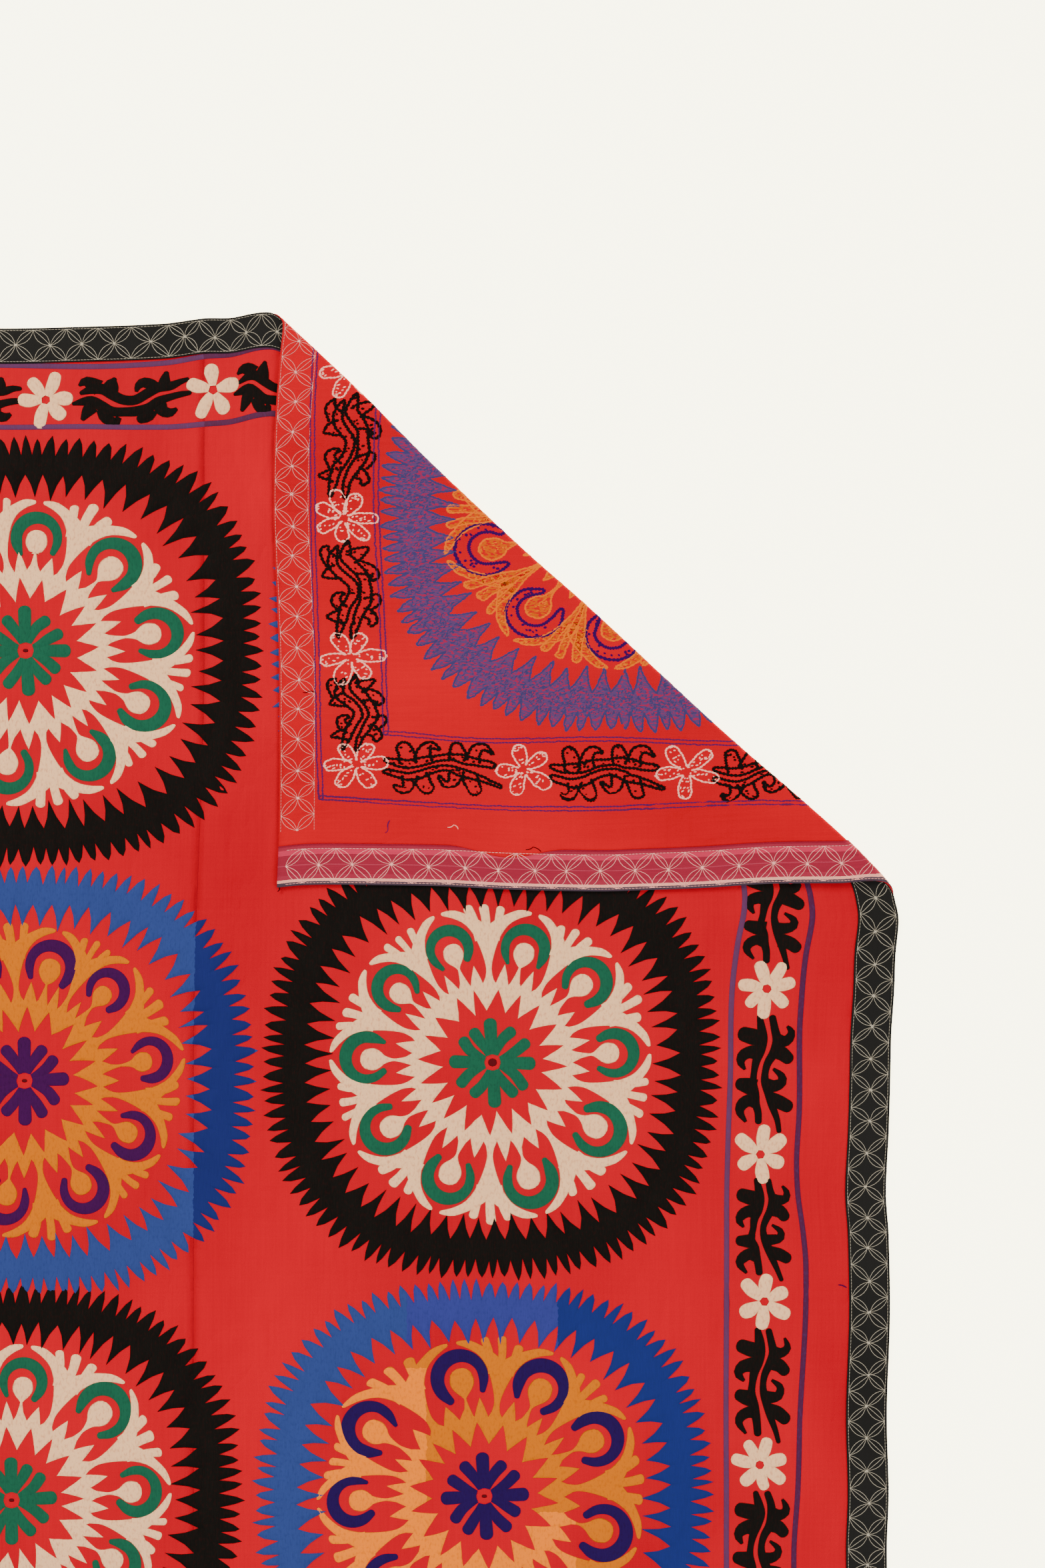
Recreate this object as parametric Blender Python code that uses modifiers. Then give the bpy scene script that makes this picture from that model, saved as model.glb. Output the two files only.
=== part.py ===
# Suzani: an embroidered cloth of three red cotton panels with a black stitched edging, laid face up on a
# flat surface with its top right corner folded over onto the front. The red inside strip on the back of
# the right edge shows on the folded corner.
# Flat cloth: s runs to the right and t up the cloth, both from its middle. World: x right, y up the cloth,
# z up. The origin is the middle of the bounding box on the surface below. All lengths are in metres.
import math

import bpy
import bmesh
from mathutils import Vector

# Sizes of the cloth as it was cut and sewn
CLOTH_WIDTH = 1.946
CLOTH_HEIGHT = 2.150
SEAM_OFFSET = 0.196  # each of the two seams, from the middle of the cloth
SIDE_EDGING = 0.046
END_EDGING = 0.0395
FACING_WIDTH = 0.049

# Thicknesses, with the embroidery pressed into the panels' own
PANEL_THICK = 0.0012
EDGING_THICK = 0.0010
FACING_THICK = 0.0010
LAYER_GAP = 0.0003

# The folded corner: the fold runs straight between two points of the surface below
FOLD_TOP = Vector((0.28275, 1.0871))
FOLD_SIDE = Vector((0.9825, 0.4301))
BEND_RADIUS = 0.0036  # of the middle of the panel's thickness
BEND_FACETS = 6
FLAP_REST = 0.0043  # height of the middle of the folded layer, away from the fold
FLAP_EASE = 0.16  # width over which that layer comes down from the fold
FLAP_SHEAR = -0.1256  # the loose cloth slips along the fold by this much for each metre away from it
FLAP_STRETCH = 1.0039

# The panel steps up over the inside strip of the right edge
STEP_WIDTH = 0.018
STEP_HEIGHT = FACING_THICK + LAYER_GAP

# Longest side of a mesh cell
CELL = 0.062

# How far each cut edge wanders outward: place along the edge, distance
RIGHT_EDGE = (
    # t, outward
    (-1.075, 0.0010),
    (-0.800, -0.0020),
    (-0.550, 0.0020),
    (-0.309, -0.0030),
    (-0.241, -0.0010),
    (-0.151, -0.0030),
    (-0.039, 0.0005),
    (0.051, -0.0010),
    (0.096, -0.0040),
    (0.164, -0.0010),
    (0.209, 0.0005),
    (0.276, 0.0020),
    (0.321, 0.0050),
    (0.366, 0.0065),
    (0.405, 0.0095),
    (0.430, 0.0040),
    (0.455, -0.0045),
    (0.498, -0.0012),
    (0.578, -0.0015),
    (0.640, 0.0010),
    (0.694, 0.0024),
    (0.749, 0.0038),
    (0.846, 0.0013),
    (0.909, -0.0026),
    (0.980, -0.0043),
    (1.044, -0.0044),
    (1.087, 0.0000),
)
TOP_EDGE = (
    # s, outward
    (-0.973, -0.0030),
    (-0.600, -0.0050),
    (-0.300, -0.0020),
    (-0.028, -0.0060),
    (0.047, -0.0045),
    (0.152, -0.0005),
    (0.197, 0.0055),
    (0.227, 0.0060),
    (0.257, 0.0115),
    (0.276, 0.0120),
    (0.295, 0.0068),
    (0.338, 0.0099),
    (0.426, 0.0155),
    (0.528, 0.0167),
    (0.638, 0.0124),
    (0.709, 0.0103),
    (0.917, 0.0104),
    (0.973, 0.0120),
)
LEFT_EDGE = (
    # t, outward
    (-1.075, 0.0030),
    (-0.760, 0.0060),
    (-0.400, 0.0010),
    (-0.050, 0.0050),
    (0.240, 0.0101),
    (0.560, 0.0040),
    (0.850, 0.0020),
    (1.075, 0.0050),
)
BOTTOM_EDGE = (
    # s, outward
    (-0.973, 0.0060),
    (-0.620, 0.0113),
    (-0.250, 0.0050),
    (0.120, 0.0080),
    (0.480, 0.0020),
    (0.800, 0.0060),
    (0.973, 0.0030),
)
EDGE_REACH = 0.22  # how far in from an edge its wandering is felt
EDGE_BAND = 0.05  # the outermost band, which follows its edge whole

# The right seam leans: its shift to the right at the top and at the bottom of the lean
SEAM_LEAN = 0.006
SEAM_LEAN_LOW = 0.24
SEAM_LEAN_HIGH = 0.70
SEAM_LEAN_REACH = 0.08

# The fold's edge is not quite straight: share of its length, distance outward
FOLD_BOW = (
    # share, outward
    (0.00, 0.0000),
    (0.14, 0.0000),
    (0.25, -0.0036),
    (0.41, -0.0034),
    (0.50, -0.0006),
    (0.68, 0.0004),
    (0.76, 0.0022),
    (0.83, 0.0052),
    (0.90, 0.0072),
    (0.96, 0.0052),
    (1.00, 0.0010),
)
BOW_REACH_BASE = 0.10
BOW_REACH_FLAP = 0.20

# Soft ridges where the cloth stands off the surface: the ends of each on the surface, its height and the
# distance at which it has died away
RIDGES = (
    # x1, y1, x2, y2, height, reach
    (0.215, 0.600, 0.195, 0.330, 0.0035, 0.075),
    (0.190, -0.095, 0.330, 0.030, 0.0038, 0.080),
    (0.700, -0.010, 0.800, 0.045, 0.0030, 0.070),
    (0.885, 0.300, 0.900, -0.120, 0.0022, 0.062),
    (-0.420, -0.560, -0.290, -0.640, 0.0036, 0.085),
    (-0.330, 0.430, -0.290, 0.240, 0.0032, 0.080),
    (0.300, -0.640, 0.420, -0.600, 0.0034, 0.080),
)

HALF_WIDTH = CLOTH_WIDTH / 2
HALF_HEIGHT = CLOTH_HEIGHT / 2
FOLD_LENGTH = (FOLD_SIDE - FOLD_TOP).length
ALONG = (FOLD_SIDE - FOLD_TOP) / FOLD_LENGTH
OUTWARD = Vector((-ALONG.y, ALONG.x))
BEND_START = -(BEND_RADIUS + PANEL_THICK / 2)
BEND_LENGTH = math.pi * BEND_RADIUS
EDGING_LIFT = PANEL_THICK / 2 + LAYER_GAP + EDGING_THICK / 2
FACING_LIFT = -(PANEL_THICK / 2 + LAYER_GAP + FACING_THICK / 2)

# Sheets: name, s from and to, t from and to, height of the middle of the sheet above the middle of the
# panels, thickness, colour, roughness
SHEETS = (
    ("panel_left", -HALF_WIDTH, -SEAM_OFFSET - LAYER_GAP / 2, -HALF_HEIGHT, HALF_HEIGHT,
     0.0, PANEL_THICK, (0.78, 0.035, 0.035), 0.85),
    ("panel_middle", -SEAM_OFFSET + LAYER_GAP / 2, SEAM_OFFSET - LAYER_GAP / 2, -HALF_HEIGHT, HALF_HEIGHT,
     0.0, PANEL_THICK, (0.75, 0.035, 0.035), 0.85),
    ("panel_right", SEAM_OFFSET + LAYER_GAP / 2, HALF_WIDTH, -HALF_HEIGHT, HALF_HEIGHT,
     0.0, PANEL_THICK, (0.78, 0.035, 0.035), 0.85),
    ("edging_left", -HALF_WIDTH, -HALF_WIDTH + SIDE_EDGING, -HALF_HEIGHT, HALF_HEIGHT,
     EDGING_LIFT, EDGING_THICK, (0.016, 0.015, 0.013), 0.8),
    ("edging_right", HALF_WIDTH - SIDE_EDGING, HALF_WIDTH, -HALF_HEIGHT, HALF_HEIGHT,
     EDGING_LIFT, EDGING_THICK, (0.016, 0.015, 0.013), 0.8),
    ("edging_top", -HALF_WIDTH + SIDE_EDGING + LAYER_GAP, HALF_WIDTH - SIDE_EDGING - LAYER_GAP,
     HALF_HEIGHT - END_EDGING, HALF_HEIGHT, EDGING_LIFT, EDGING_THICK, (0.016, 0.015, 0.013), 0.8),
    ("edging_bottom", -HALF_WIDTH + SIDE_EDGING + LAYER_GAP, HALF_WIDTH - SIDE_EDGING - LAYER_GAP,
     -HALF_HEIGHT, -HALF_HEIGHT + END_EDGING, EDGING_LIFT, EDGING_THICK, (0.016, 0.015, 0.013), 0.8),
    ("facing_right", HALF_WIDTH - FACING_WIDTH, HALF_WIDTH, -HALF_HEIGHT, HALF_HEIGHT,
     FACING_LIFT, FACING_THICK, (0.48, 0.02, 0.055), 0.85),
)


def clear_scene():
    for obj in list(bpy.data.objects):
        bpy.data.objects.remove(obj, do_unlink=True)


def smooth_step(value):
    value = min(max(value, 0.0), 1.0)
    return value * value * (3.0 - 2.0 * value)


def read_table(table, place):
    """Value of a two-column table at a place, on a smooth curve through its rows."""
    if place <= table[0][0]:
        return table[0][1]
    if place >= table[-1][0]:
        return table[-1][1]
    low = max(i for i in range(len(table) - 1) if table[i][0] <= place)
    x0, y0 = table[low]
    x1, y1 = table[low + 1]
    before = table[low - 1] if low > 0 else table[low]
    after = table[low + 2] if low + 2 < len(table) else table[low + 1]
    span = x1 - x0
    slope0 = (y1 - before[1]) / (x1 - before[0])
    slope1 = (after[1] - y0) / (after[0] - x0)
    f = (place - x0) / span
    return (
        (2 * f**3 - 3 * f**2 + 1) * y0
        + (f**3 - 2 * f**2 + f) * span * slope0
        + (-2 * f**3 + 3 * f**2) * y1
        + (f**3 - f**2) * span * slope1
    )


def edge_share(inset):
    """How much of an edge's wandering is felt at this distance in from the edge."""
    return 1.0 - smooth_step((inset - EDGE_BAND) / (EDGE_REACH - EDGE_BAND))


def wander(s, t):
    """Shift of a point of the flat cloth as it is laid out on the surface."""
    dx = edge_share(HALF_WIDTH - s) * read_table(RIGHT_EDGE, t)
    dx -= edge_share(HALF_WIDTH + s) * read_table(LEFT_EDGE, t)
    dy = edge_share(HALF_HEIGHT - t) * read_table(TOP_EDGE, s)
    dy -= edge_share(HALF_HEIGHT + t) * read_table(BOTTOM_EDGE, s)
    lean = 2.0 * smooth_step((t - SEAM_LEAN_LOW) / (SEAM_LEAN_HIGH - SEAM_LEAN_LOW)) - 1.0
    dx += SEAM_LEAN * lean * math.exp(-(((s - SEAM_OFFSET) / SEAM_LEAN_REACH) ** 2))
    return dx, dy


def lay_out(s, t):
    dx, dy = wander(s, t)
    return s + dx, t + dy


def flat_place(x, y):
    """The point of the flat cloth that is laid out at x, y."""
    s, t = x, y
    for _ in range(6):
        dx, dy = wander(s, t)
        s, t = x - dx, y - dy
    return s, t


def ridge_height(x, y):
    total = 0.0
    for x1, y1, x2, y2, height, reach in RIDGES:
        run = Vector((x2 - x1, y2 - y1))
        offset = Vector((x - x1, y - y1))
        share = min(max(offset.dot(run) / run.length_squared, 0.0), 1.0)
        distance = (offset - run * share).length
        total += height * (1.0 - smooth_step(distance / reach))
    return total


def rest_height(s, x, y):
    """Height of the middle of the panels' thickness, where the cloth lies on the surface."""
    step = smooth_step((s - (HALF_WIDTH - FACING_WIDTH - STEP_WIDTH)) / STEP_WIDTH)
    return PANEL_THICK / 2 + STEP_HEIGHT * step + ridge_height(x, y)


def bend_point(run, lift):
    """Distance out from the start of the bend and height, on facets, for a run of cloth into the bend."""
    facet = BEND_LENGTH / BEND_FACETS
    first = min(int(run / facet), BEND_FACETS - 1)
    share = run / facet - first
    radius = BEND_RADIUS - lift
    corners = []
    for i in (first, first + 1):
        angle = math.pi * i / BEND_FACETS
        corners.append((radius * math.sin(angle), BEND_RADIUS - radius * math.cos(angle)))
    out = corners[0][0] + (corners[1][0] - corners[0][0]) * share
    up = corners[0][1] + (corners[1][1] - corners[0][1]) * share
    return out, up


def fold_over(x, y, lift):
    """Where a laid out point comes to once the corner is folded. Lift is its height off the panels' middle."""
    s, _ = flat_place(x, y)
    rest = rest_height(s, x, y)
    offset = Vector((x, y)) - FOLD_TOP
    along = offset.dot(ALONG)
    out = offset.dot(OUTWARD)
    run = out - BEND_START
    bow = read_table(FOLD_BOW, along / FOLD_LENGTH)
    if run <= 0.0:
        height = rest + lift
        bow_share = smooth_step(1.0 + run / BOW_REACH_BASE)
    elif run <= BEND_LENGTH:
        out, up = bend_point(run, lift)
        out += BEND_START
        height = rest + up
        bow_share = 1.0
    else:
        run = (run - BEND_LENGTH) * FLAP_STRETCH
        out = BEND_START - run
        along += FLAP_SHEAR * run
        top = rest + 2 * BEND_RADIUS
        height = FLAP_REST + (top - FLAP_REST) * (1.0 - smooth_step(run / FLAP_EASE)) - lift
        bow_share = 1.0 - smooth_step(run / BOW_REACH_FLAP)
    place = FOLD_TOP + ALONG * along + OUTWARD * (out + bow * bow_share)
    return Vector((place.x, place.y, height))


def stations(low, high, fixed):
    """Cell lines from low to high that pass through the fixed ones."""
    marks = sorted({low, high} | {f for f in fixed if low < f < high})
    lines = []
    for a, b in zip(marks, marks[1:]):
        count = max(1, math.ceil((b - a) / CELL))
        lines += [a + (b - a) * i / count for i in range(count)]
    return lines[1:]


S_LINES = stations(-HALF_WIDTH, HALF_WIDTH, (
    -HALF_WIDTH + SIDE_EDGING,
    -SEAM_OFFSET,
    SEAM_OFFSET,
    HALF_WIDTH - FACING_WIDTH - STEP_WIDTH,
    HALF_WIDTH - FACING_WIDTH,
    HALF_WIDTH - SIDE_EDGING,
))
T_LINES = stations(-HALF_HEIGHT, HALF_HEIGHT, (
    -HALF_HEIGHT + END_EDGING,
    0.405,
    0.430,
    0.455,
    HALF_HEIGHT - END_EDGING,
))
FOLD_RUNS = [BEND_LENGTH * i / BEND_FACETS for i in range(BEND_FACETS + 1)]
FOLD_RUNS += [BEND_LENGTH + FLAP_EASE * i / 4 for i in range(1, 5)]


def cut(bm, place, direction):
    bmesh.ops.bisect_plane(
        bm,
        geom=bm.verts[:] + bm.edges[:] + bm.faces[:],
        dist=0.00002,
        plane_co=place,
        plane_no=direction,
    )


def make_material(name, colour, roughness):
    material = bpy.data.materials.new(name)
    material.use_nodes = True
    shader = material.node_tree.nodes["Principled BSDF"]
    shader.inputs["Base Color"].default_value = (*colour, 1.0)
    shader.inputs["Roughness"].default_value = roughness
    shader.inputs["Metallic"].default_value = 0.0
    return material


def make_sheet(collection, name, s0, s1, t0, t1, lift, thickness, colour, roughness):
    bm = bmesh.new()
    bmesh.ops.create_grid(bm, x_segments=1, y_segments=1, size=0.5)
    for vert in bm.verts:
        vert.co.x = s0 + (vert.co.x + 0.5) * (s1 - s0)
        vert.co.y = t0 + (vert.co.y + 0.5) * (t1 - t0)
    for s in S_LINES:
        if s0 + LAYER_GAP < s < s1 - LAYER_GAP:
            cut(bm, (s, 0.0, 0.0), (1.0, 0.0, 0.0))
    for t in T_LINES:
        if t0 + LAYER_GAP < t < t1 - LAYER_GAP:
            cut(bm, (0.0, t, 0.0), (0.0, 1.0, 0.0))
    for vert in bm.verts:
        vert.co.x, vert.co.y = lay_out(vert.co.x, vert.co.y)
    for run in FOLD_RUNS:
        place = FOLD_TOP + OUTWARD * (BEND_START + run)
        cut(bm, (place.x, place.y, 0.0), (OUTWARD.x, OUTWARD.y, 0.0))
    for vert in bm.verts:
        vert.co = fold_over(vert.co.x, vert.co.y, lift)
    mesh = bpy.data.meshes.new(name)
    bm.to_mesh(mesh)
    bm.free()
    mesh.materials.append(make_material(name + "_cloth", colour, roughness))
    sheet = bpy.data.objects.new(name, mesh)
    collection.objects.link(sheet)
    solidify = sheet.modifiers.new("thickness", "SOLIDIFY")
    solidify.thickness = thickness
    solidify.offset = 0.0
    solidify.use_even_offset = True
    return sheet


def main():
    clear_scene()
    collection = bpy.data.collections.new("suzani")
    bpy.context.scene.collection.children.link(collection)
    for row in SHEETS:
        make_sheet(collection, *row)


main()
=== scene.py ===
import math

import bmesh
import bpy
import numpy as np
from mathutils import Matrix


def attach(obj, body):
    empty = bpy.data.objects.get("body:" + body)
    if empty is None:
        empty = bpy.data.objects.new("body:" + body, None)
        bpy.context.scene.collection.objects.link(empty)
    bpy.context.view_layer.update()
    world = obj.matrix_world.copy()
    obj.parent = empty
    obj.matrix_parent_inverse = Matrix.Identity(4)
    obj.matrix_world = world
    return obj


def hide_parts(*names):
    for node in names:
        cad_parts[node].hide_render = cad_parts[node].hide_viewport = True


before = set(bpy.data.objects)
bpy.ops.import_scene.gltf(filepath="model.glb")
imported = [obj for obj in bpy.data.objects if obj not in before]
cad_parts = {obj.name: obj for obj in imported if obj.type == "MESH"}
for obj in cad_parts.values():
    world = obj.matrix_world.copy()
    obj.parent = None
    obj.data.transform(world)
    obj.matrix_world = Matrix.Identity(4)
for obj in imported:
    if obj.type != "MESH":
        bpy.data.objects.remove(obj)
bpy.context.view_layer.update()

mm = 0.001
chance = np.random.default_rng(41)

cloth = {
    "width": 1.946,
    "height": 2.150,
    "seam": 0.196,
    "sideEdging": 0.046,
    "endEdging": 0.0395,
    "facing": 0.049,
    "gap": 0.0003,
    "cell": 0.011,
    "panelThick": 0.0010,
    "stripThick": 0.0008,
    "stripLift": 0.0013,
}

fold = {
    "top": (0.28275, 1.0871),
    "side": (0.9825, 0.4301),
    "bendRadius": 0.0036,
    "panelThick": 0.0012,
    "flapRest": 0.0043,
    "ease": 0.16,
    "shear": -0.1256,
    "stretch": 1.0039,
    "bowBase": 0.10,
    "bowFlap": 0.20,
    "stations": 10,
}

step = {"width": 0.018, "height": 0.0013}
lean = {"shift": 0.006, "low": 0.24, "high": 0.70, "reach": 0.08}
edge = {"reach": 0.22, "band": 0.05}

# How far each cut edge wanders outward
rightEdge = (
    # t, outward
    (-1.075, 0.0010), (-0.800, -0.0020), (-0.550, 0.0020), (-0.309, -0.0030), (-0.241, -0.0010),
    (-0.151, -0.0030), (-0.039, 0.0005), (0.051, -0.0010), (0.096, -0.0040), (0.164, -0.0010),
    (0.209, 0.0005), (0.276, 0.0020), (0.321, 0.0050), (0.366, 0.0065), (0.405, 0.0095),
    (0.430, 0.0040), (0.455, -0.0045), (0.498, -0.0012), (0.578, -0.0015), (0.640, 0.0010),
    (0.694, 0.0024), (0.749, 0.0038), (0.846, 0.0013), (0.909, -0.0026), (0.980, -0.0043),
    (1.044, -0.0044), (1.087, 0.0000),
)
topEdge = (
    # s, outward
    (-0.973, -0.0030), (-0.600, -0.0050), (-0.300, -0.0020), (-0.028, -0.0060), (0.047, -0.0045),
    (0.152, -0.0005), (0.197, 0.0055), (0.227, 0.0060), (0.257, 0.0115), (0.276, 0.0120),
    (0.295, 0.0068), (0.338, 0.0099), (0.426, 0.0155), (0.528, 0.0167), (0.638, 0.0124),
    (0.709, 0.0103), (0.917, 0.0104), (0.973, 0.0120),
)
leftEdge = (
    # t, outward
    (-1.075, 0.0030), (-0.760, 0.0060), (-0.400, 0.0010), (-0.050, 0.0050), (0.240, 0.0101),
    (0.560, 0.0040), (0.850, 0.0020), (1.075, 0.0050),
)
bottomEdge = (
    # s, outward
    (-0.973, 0.0060), (-0.620, 0.0113), (-0.250, 0.0050), (0.120, 0.0080), (0.480, 0.0020),
    (0.800, 0.0060), (0.973, 0.0030),
)
# The fold's edge is not quite straight
foldBow = (
    # share of its length, outward
    (0.00, 0.0000), (0.14, 0.0000), (0.25, -0.0036), (0.41, -0.0034), (0.50, -0.0006), (0.68, 0.0004),
    (0.76, 0.0022), (0.83, 0.0052), (0.90, 0.0072), (0.96, 0.0052), (1.00, 0.0010),
)
# Places where the cloth stands off the surface
ridges = (
    # x1, y1, x2, y2, height, reach
    (0.215, 0.600, 0.195, 0.330, 0.0035, 0.075),
    (0.190, -0.095, 0.330, 0.030, 0.0038, 0.080),
    (0.700, -0.010, 0.800, 0.045, 0.0030, 0.070),
    (0.885, 0.300, 0.900, -0.120, 0.0022, 0.062),
    (-0.420, -0.560, -0.290, -0.640, 0.0036, 0.085),
    (-0.330, 0.430, -0.290, 0.240, 0.0032, 0.080),
    (0.300, -0.640, 0.420, -0.600, 0.0034, 0.080),
)

# Creases that the photo shows, small and narrow; the second table is for the folded corner
creases = (
    # x1, y1, x2, y2, height, reach
    (0.218, 0.548, 0.228, 0.452, 0.0019, 0.018),
    (0.246, 0.530, 0.252, 0.470, 0.0015, 0.016),
    (0.205, -0.092, 0.288, -0.020, 0.0020, 0.018),
    (0.262, -0.030, 0.272, 0.030, 0.0014, 0.016),
    (0.716, 0.052, 0.790, -0.030, 0.0019, 0.018),
    (0.895, 0.300, 0.922, 0.225, 0.0014, 0.014),
    (0.888, 0.120, 0.918, 0.060, 0.0014, 0.014),
    (0.890, -0.010, 0.916, -0.012, 0.0015, 0.013),
    (0.885, -0.150, 0.905, -0.240, 0.0014, 0.014),
    (-0.250, 0.480, -0.262, 0.380, 0.0018, 0.017),
    (-0.300, -0.500, -0.240, -0.440, 0.0018, 0.018),
    (-0.760, 0.020, -0.700, 0.060, 0.0018, 0.017),
)
flapCreases = (
    # x1, y1, x2, y2, height, reach
    (0.772, 0.545, 0.780, 0.500, 0.0011, 0.011),
    (0.785, 0.540, 0.790, 0.498, 0.0010, 0.010),
    (0.858, 0.530, 0.866, 0.494, 0.0011, 0.011),
    (0.330, 0.545, 0.700, 0.530, 0.0010, 0.015),
    (0.400, 0.520, 0.470, 0.490, 0.0010, 0.013),
    (0.560, 0.500, 0.640, 0.512, 0.0010, 0.012),
)
# Where the hem of the inside strip was caught too far out, as it lies
dip = {"x": 0.5437, "y": 0.4860, "depth": 0.011, "reach": 0.062}

halfWidth = cloth["width"] / 2
halfHeight = cloth["height"] / 2
foldTop = np.array(fold["top"])
foldRun = np.array(fold["side"]) - foldTop
foldLength = float(np.hypot(*foldRun))
foldAlong = foldRun / foldLength
foldOut = np.array((-foldAlong[1], foldAlong[0]))
bendStart = -(fold["bendRadius"] + fold["panelThick"] / 2)
bendLength = math.pi * fold["bendRadius"]


def smoothStep(value):
    value = np.clip(value, 0.0, 1.0)
    return value * value * (3.0 - 2.0 * value)


def smoothCurve(at, xs, ys):
    # a smooth curve through given points, read at any places
    xs = np.asarray(xs, float)
    ys = np.asarray(ys, float)
    ahead = np.minimum(np.arange(len(xs)) + 1, len(xs) - 1)
    behind = np.maximum(np.arange(len(xs)) - 1, 0)
    slope = (ys[ahead] - ys[behind]) / (xs[ahead] - xs[behind])
    at = np.clip(at, xs[0], xs[-1])
    low = np.clip(np.searchsorted(xs, at, side="right") - 1, 0, len(xs) - 2)
    span = xs[low + 1] - xs[low]
    f = (at - xs[low]) / span
    return (
        (2 * f**3 - 3 * f**2 + 1) * ys[low]
        + (f**3 - 2 * f**2 + f) * span * slope[low]
        + (-2 * f**3 + 3 * f**2) * ys[low + 1]
        + (f**3 - f**2) * span * slope[low + 1]
    )


def readTable(table, at):
    rows = np.array(table)
    return smoothCurve(at, rows[:, 0], rows[:, 1])


def edgeShare(inset):
    return 1.0 - smoothStep((inset - edge["band"]) / (edge["reach"] - edge["band"]))


def wander(s, t):
    dx = edgeShare(halfWidth - s) * readTable(rightEdge, t)
    dx = dx - edgeShare(halfWidth + s) * readTable(leftEdge, t)
    dy = edgeShare(halfHeight - t) * readTable(topEdge, s)
    dy = dy - edgeShare(halfHeight + t) * readTable(bottomEdge, s)
    tilt = 2.0 * smoothStep((t - lean["low"]) / (lean["high"] - lean["low"])) - 1.0
    dx = dx + lean["shift"] * tilt * np.exp(-(((s - cloth["seam"]) / lean["reach"]) ** 2))
    return dx, dy


def layOut(s, t):
    dx, dy = wander(s, t)
    return s + dx, t + dy


def flatPlace(x, y):
    s, t = x, y
    for _ in range(6):
        dx, dy = wander(s, t)
        s, t = x - dx, y - dy
    return s, t


def lineDistance(x, y, x1, y1, x2, y2):
    runX, runY = x2 - x1, y2 - y1
    share = np.clip(((x - x1) * runX + (y - y1) * runY) / (runX**2 + runY**2), 0.0, 1.0)
    return np.hypot(x - x1 - runX * share, y - y1 - runY * share)


def raised(table, x, y):
    height = 0.0
    for x1, y1, x2, y2, rise, reach in table:
        height = height + rise * (1.0 - smoothStep(lineDistance(x, y, x1, y1, x2, y2) / reach))
    return height


def restHeight(s, x, y):
    height = fold["panelThick"] / 2 + step["height"] * smoothStep(
        (s - (halfWidth - cloth["facing"] - step["width"])) / step["width"])
    return height + raised(ridges + creases, x, y)


def foldPlace(x, y):
    # along the fold and out from it
    offX, offY = x - foldTop[0], y - foldTop[1]
    return offX * foldAlong[0] + offY * foldAlong[1], offX * foldOut[0] + offY * foldOut[1]


def foldOver(s, x, y, lift):
    rest = restHeight(s, x, y)
    along, out = foldPlace(x, y)
    run = out - bendStart
    bow = readTable(foldBow, along / foldLength)
    angle = np.clip(run / fold["bendRadius"], 0.0, math.pi)
    radius = fold["bendRadius"] - lift
    over = np.maximum(run - bendLength, 0.0) * fold["stretch"]
    flat = run <= 0.0
    bent = (run > 0.0) & (run <= bendLength)
    top = rest + 2 * fold["bendRadius"]
    flapHeight = fold["flapRest"] + (top - fold["flapRest"]) * (1.0 - smoothStep(over / fold["ease"])) - lift
    bendHeight = rest + fold["bendRadius"] - radius * np.cos(angle)
    height = np.where(flat, rest + lift, np.where(bent, bendHeight, flapHeight))
    newOut = np.where(flat, out, np.where(bent, bendStart + radius * np.sin(angle), bendStart - over))
    baseShare = smoothStep(1.0 + run / fold["bowBase"])
    flapShare = 1.0 - smoothStep(over / fold["bowFlap"])
    share = np.where(flat, baseShare, np.where(bent, 1.0, flapShare))
    newOut = newOut + bow * share
    newAlong = along + fold["shear"] * over
    newX = foldTop[0] + foldAlong[0] * newAlong + foldOut[0] * newOut
    newY = foldTop[1] + foldAlong[1] * newAlong + foldOut[1] * newOut
    height = height + np.where(run > bendLength, raised(flapCreases, newX, newY), 0.0)
    return np.stack([newX, newY, height], axis=-1)


def clothUnder(x, y):
    # the place on the folded layer, reverse side up, that comes to lie at x, y
    s, t = np.array(x, float), np.array(y, float)
    along, out = foldPlace(s, t)
    over = -(out - bendStart)
    along = along - fold["shear"] * over
    out = over / fold["stretch"] + bendLength + bendStart
    s = foldTop[0] + foldAlong[0] * along + foldOut[0] * out
    t = foldTop[1] + foldAlong[1] * along + foldOut[1] * out
    return flatPlace(s, t)


# Colours and materials

# Cotton and silk alike scatter nearly all of the light, with hardly any gloss
fibre = {"ior": 1.46, "gloss": 0.03}
weave = {
    # cycles to the metre, across and along the cloth
    "cloud": (5.0, 3.5),
    "streak": (420.0, 9.0),
    "crossStreak": (7.0, 420.0),
    "crease": (16.0, 9.0),
    "creaseHeight": 9.0,
    "bump": 0.00022,
    "bumpStrength": 0.6,
}
threadGrain = {
    # length of one cycle, across and along the cloth
    "strands": (0.0009, 0.016),
    "cloud": (0.022, 0.05),
    "flecks": (0.0026, 0.0050),
    "backStitch": (0.0022, 0.0048),
    "backSlant": 0.9,
    "bump": 0.0004,
    "bumpStrength": 0.7,
    # colour of the painted shade at the foot of the threads
    "footShadeColour": "#5a1008",
}


def linear(hexColour):
    parts = [int(hexColour[i:i + 2], 16) / 255 for i in (1, 3, 5)]
    return tuple(p / 12.92 if p <= 0.04045 else ((p + 0.055) / 1.055) ** 2.4 for p in parts) + (1.0,)


def addNode(tree, kind, values=None, links=None, **options):
    node = tree.nodes.new(kind)
    for name, value in options.items():
        setattr(node, name, value)
    for socket, value in (values or {}).items():
        node.inputs[socket].default_value = value
    for socket, source in (links or {}).items():
        tree.links.new(source, node.inputs[socket])
    return node


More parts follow.
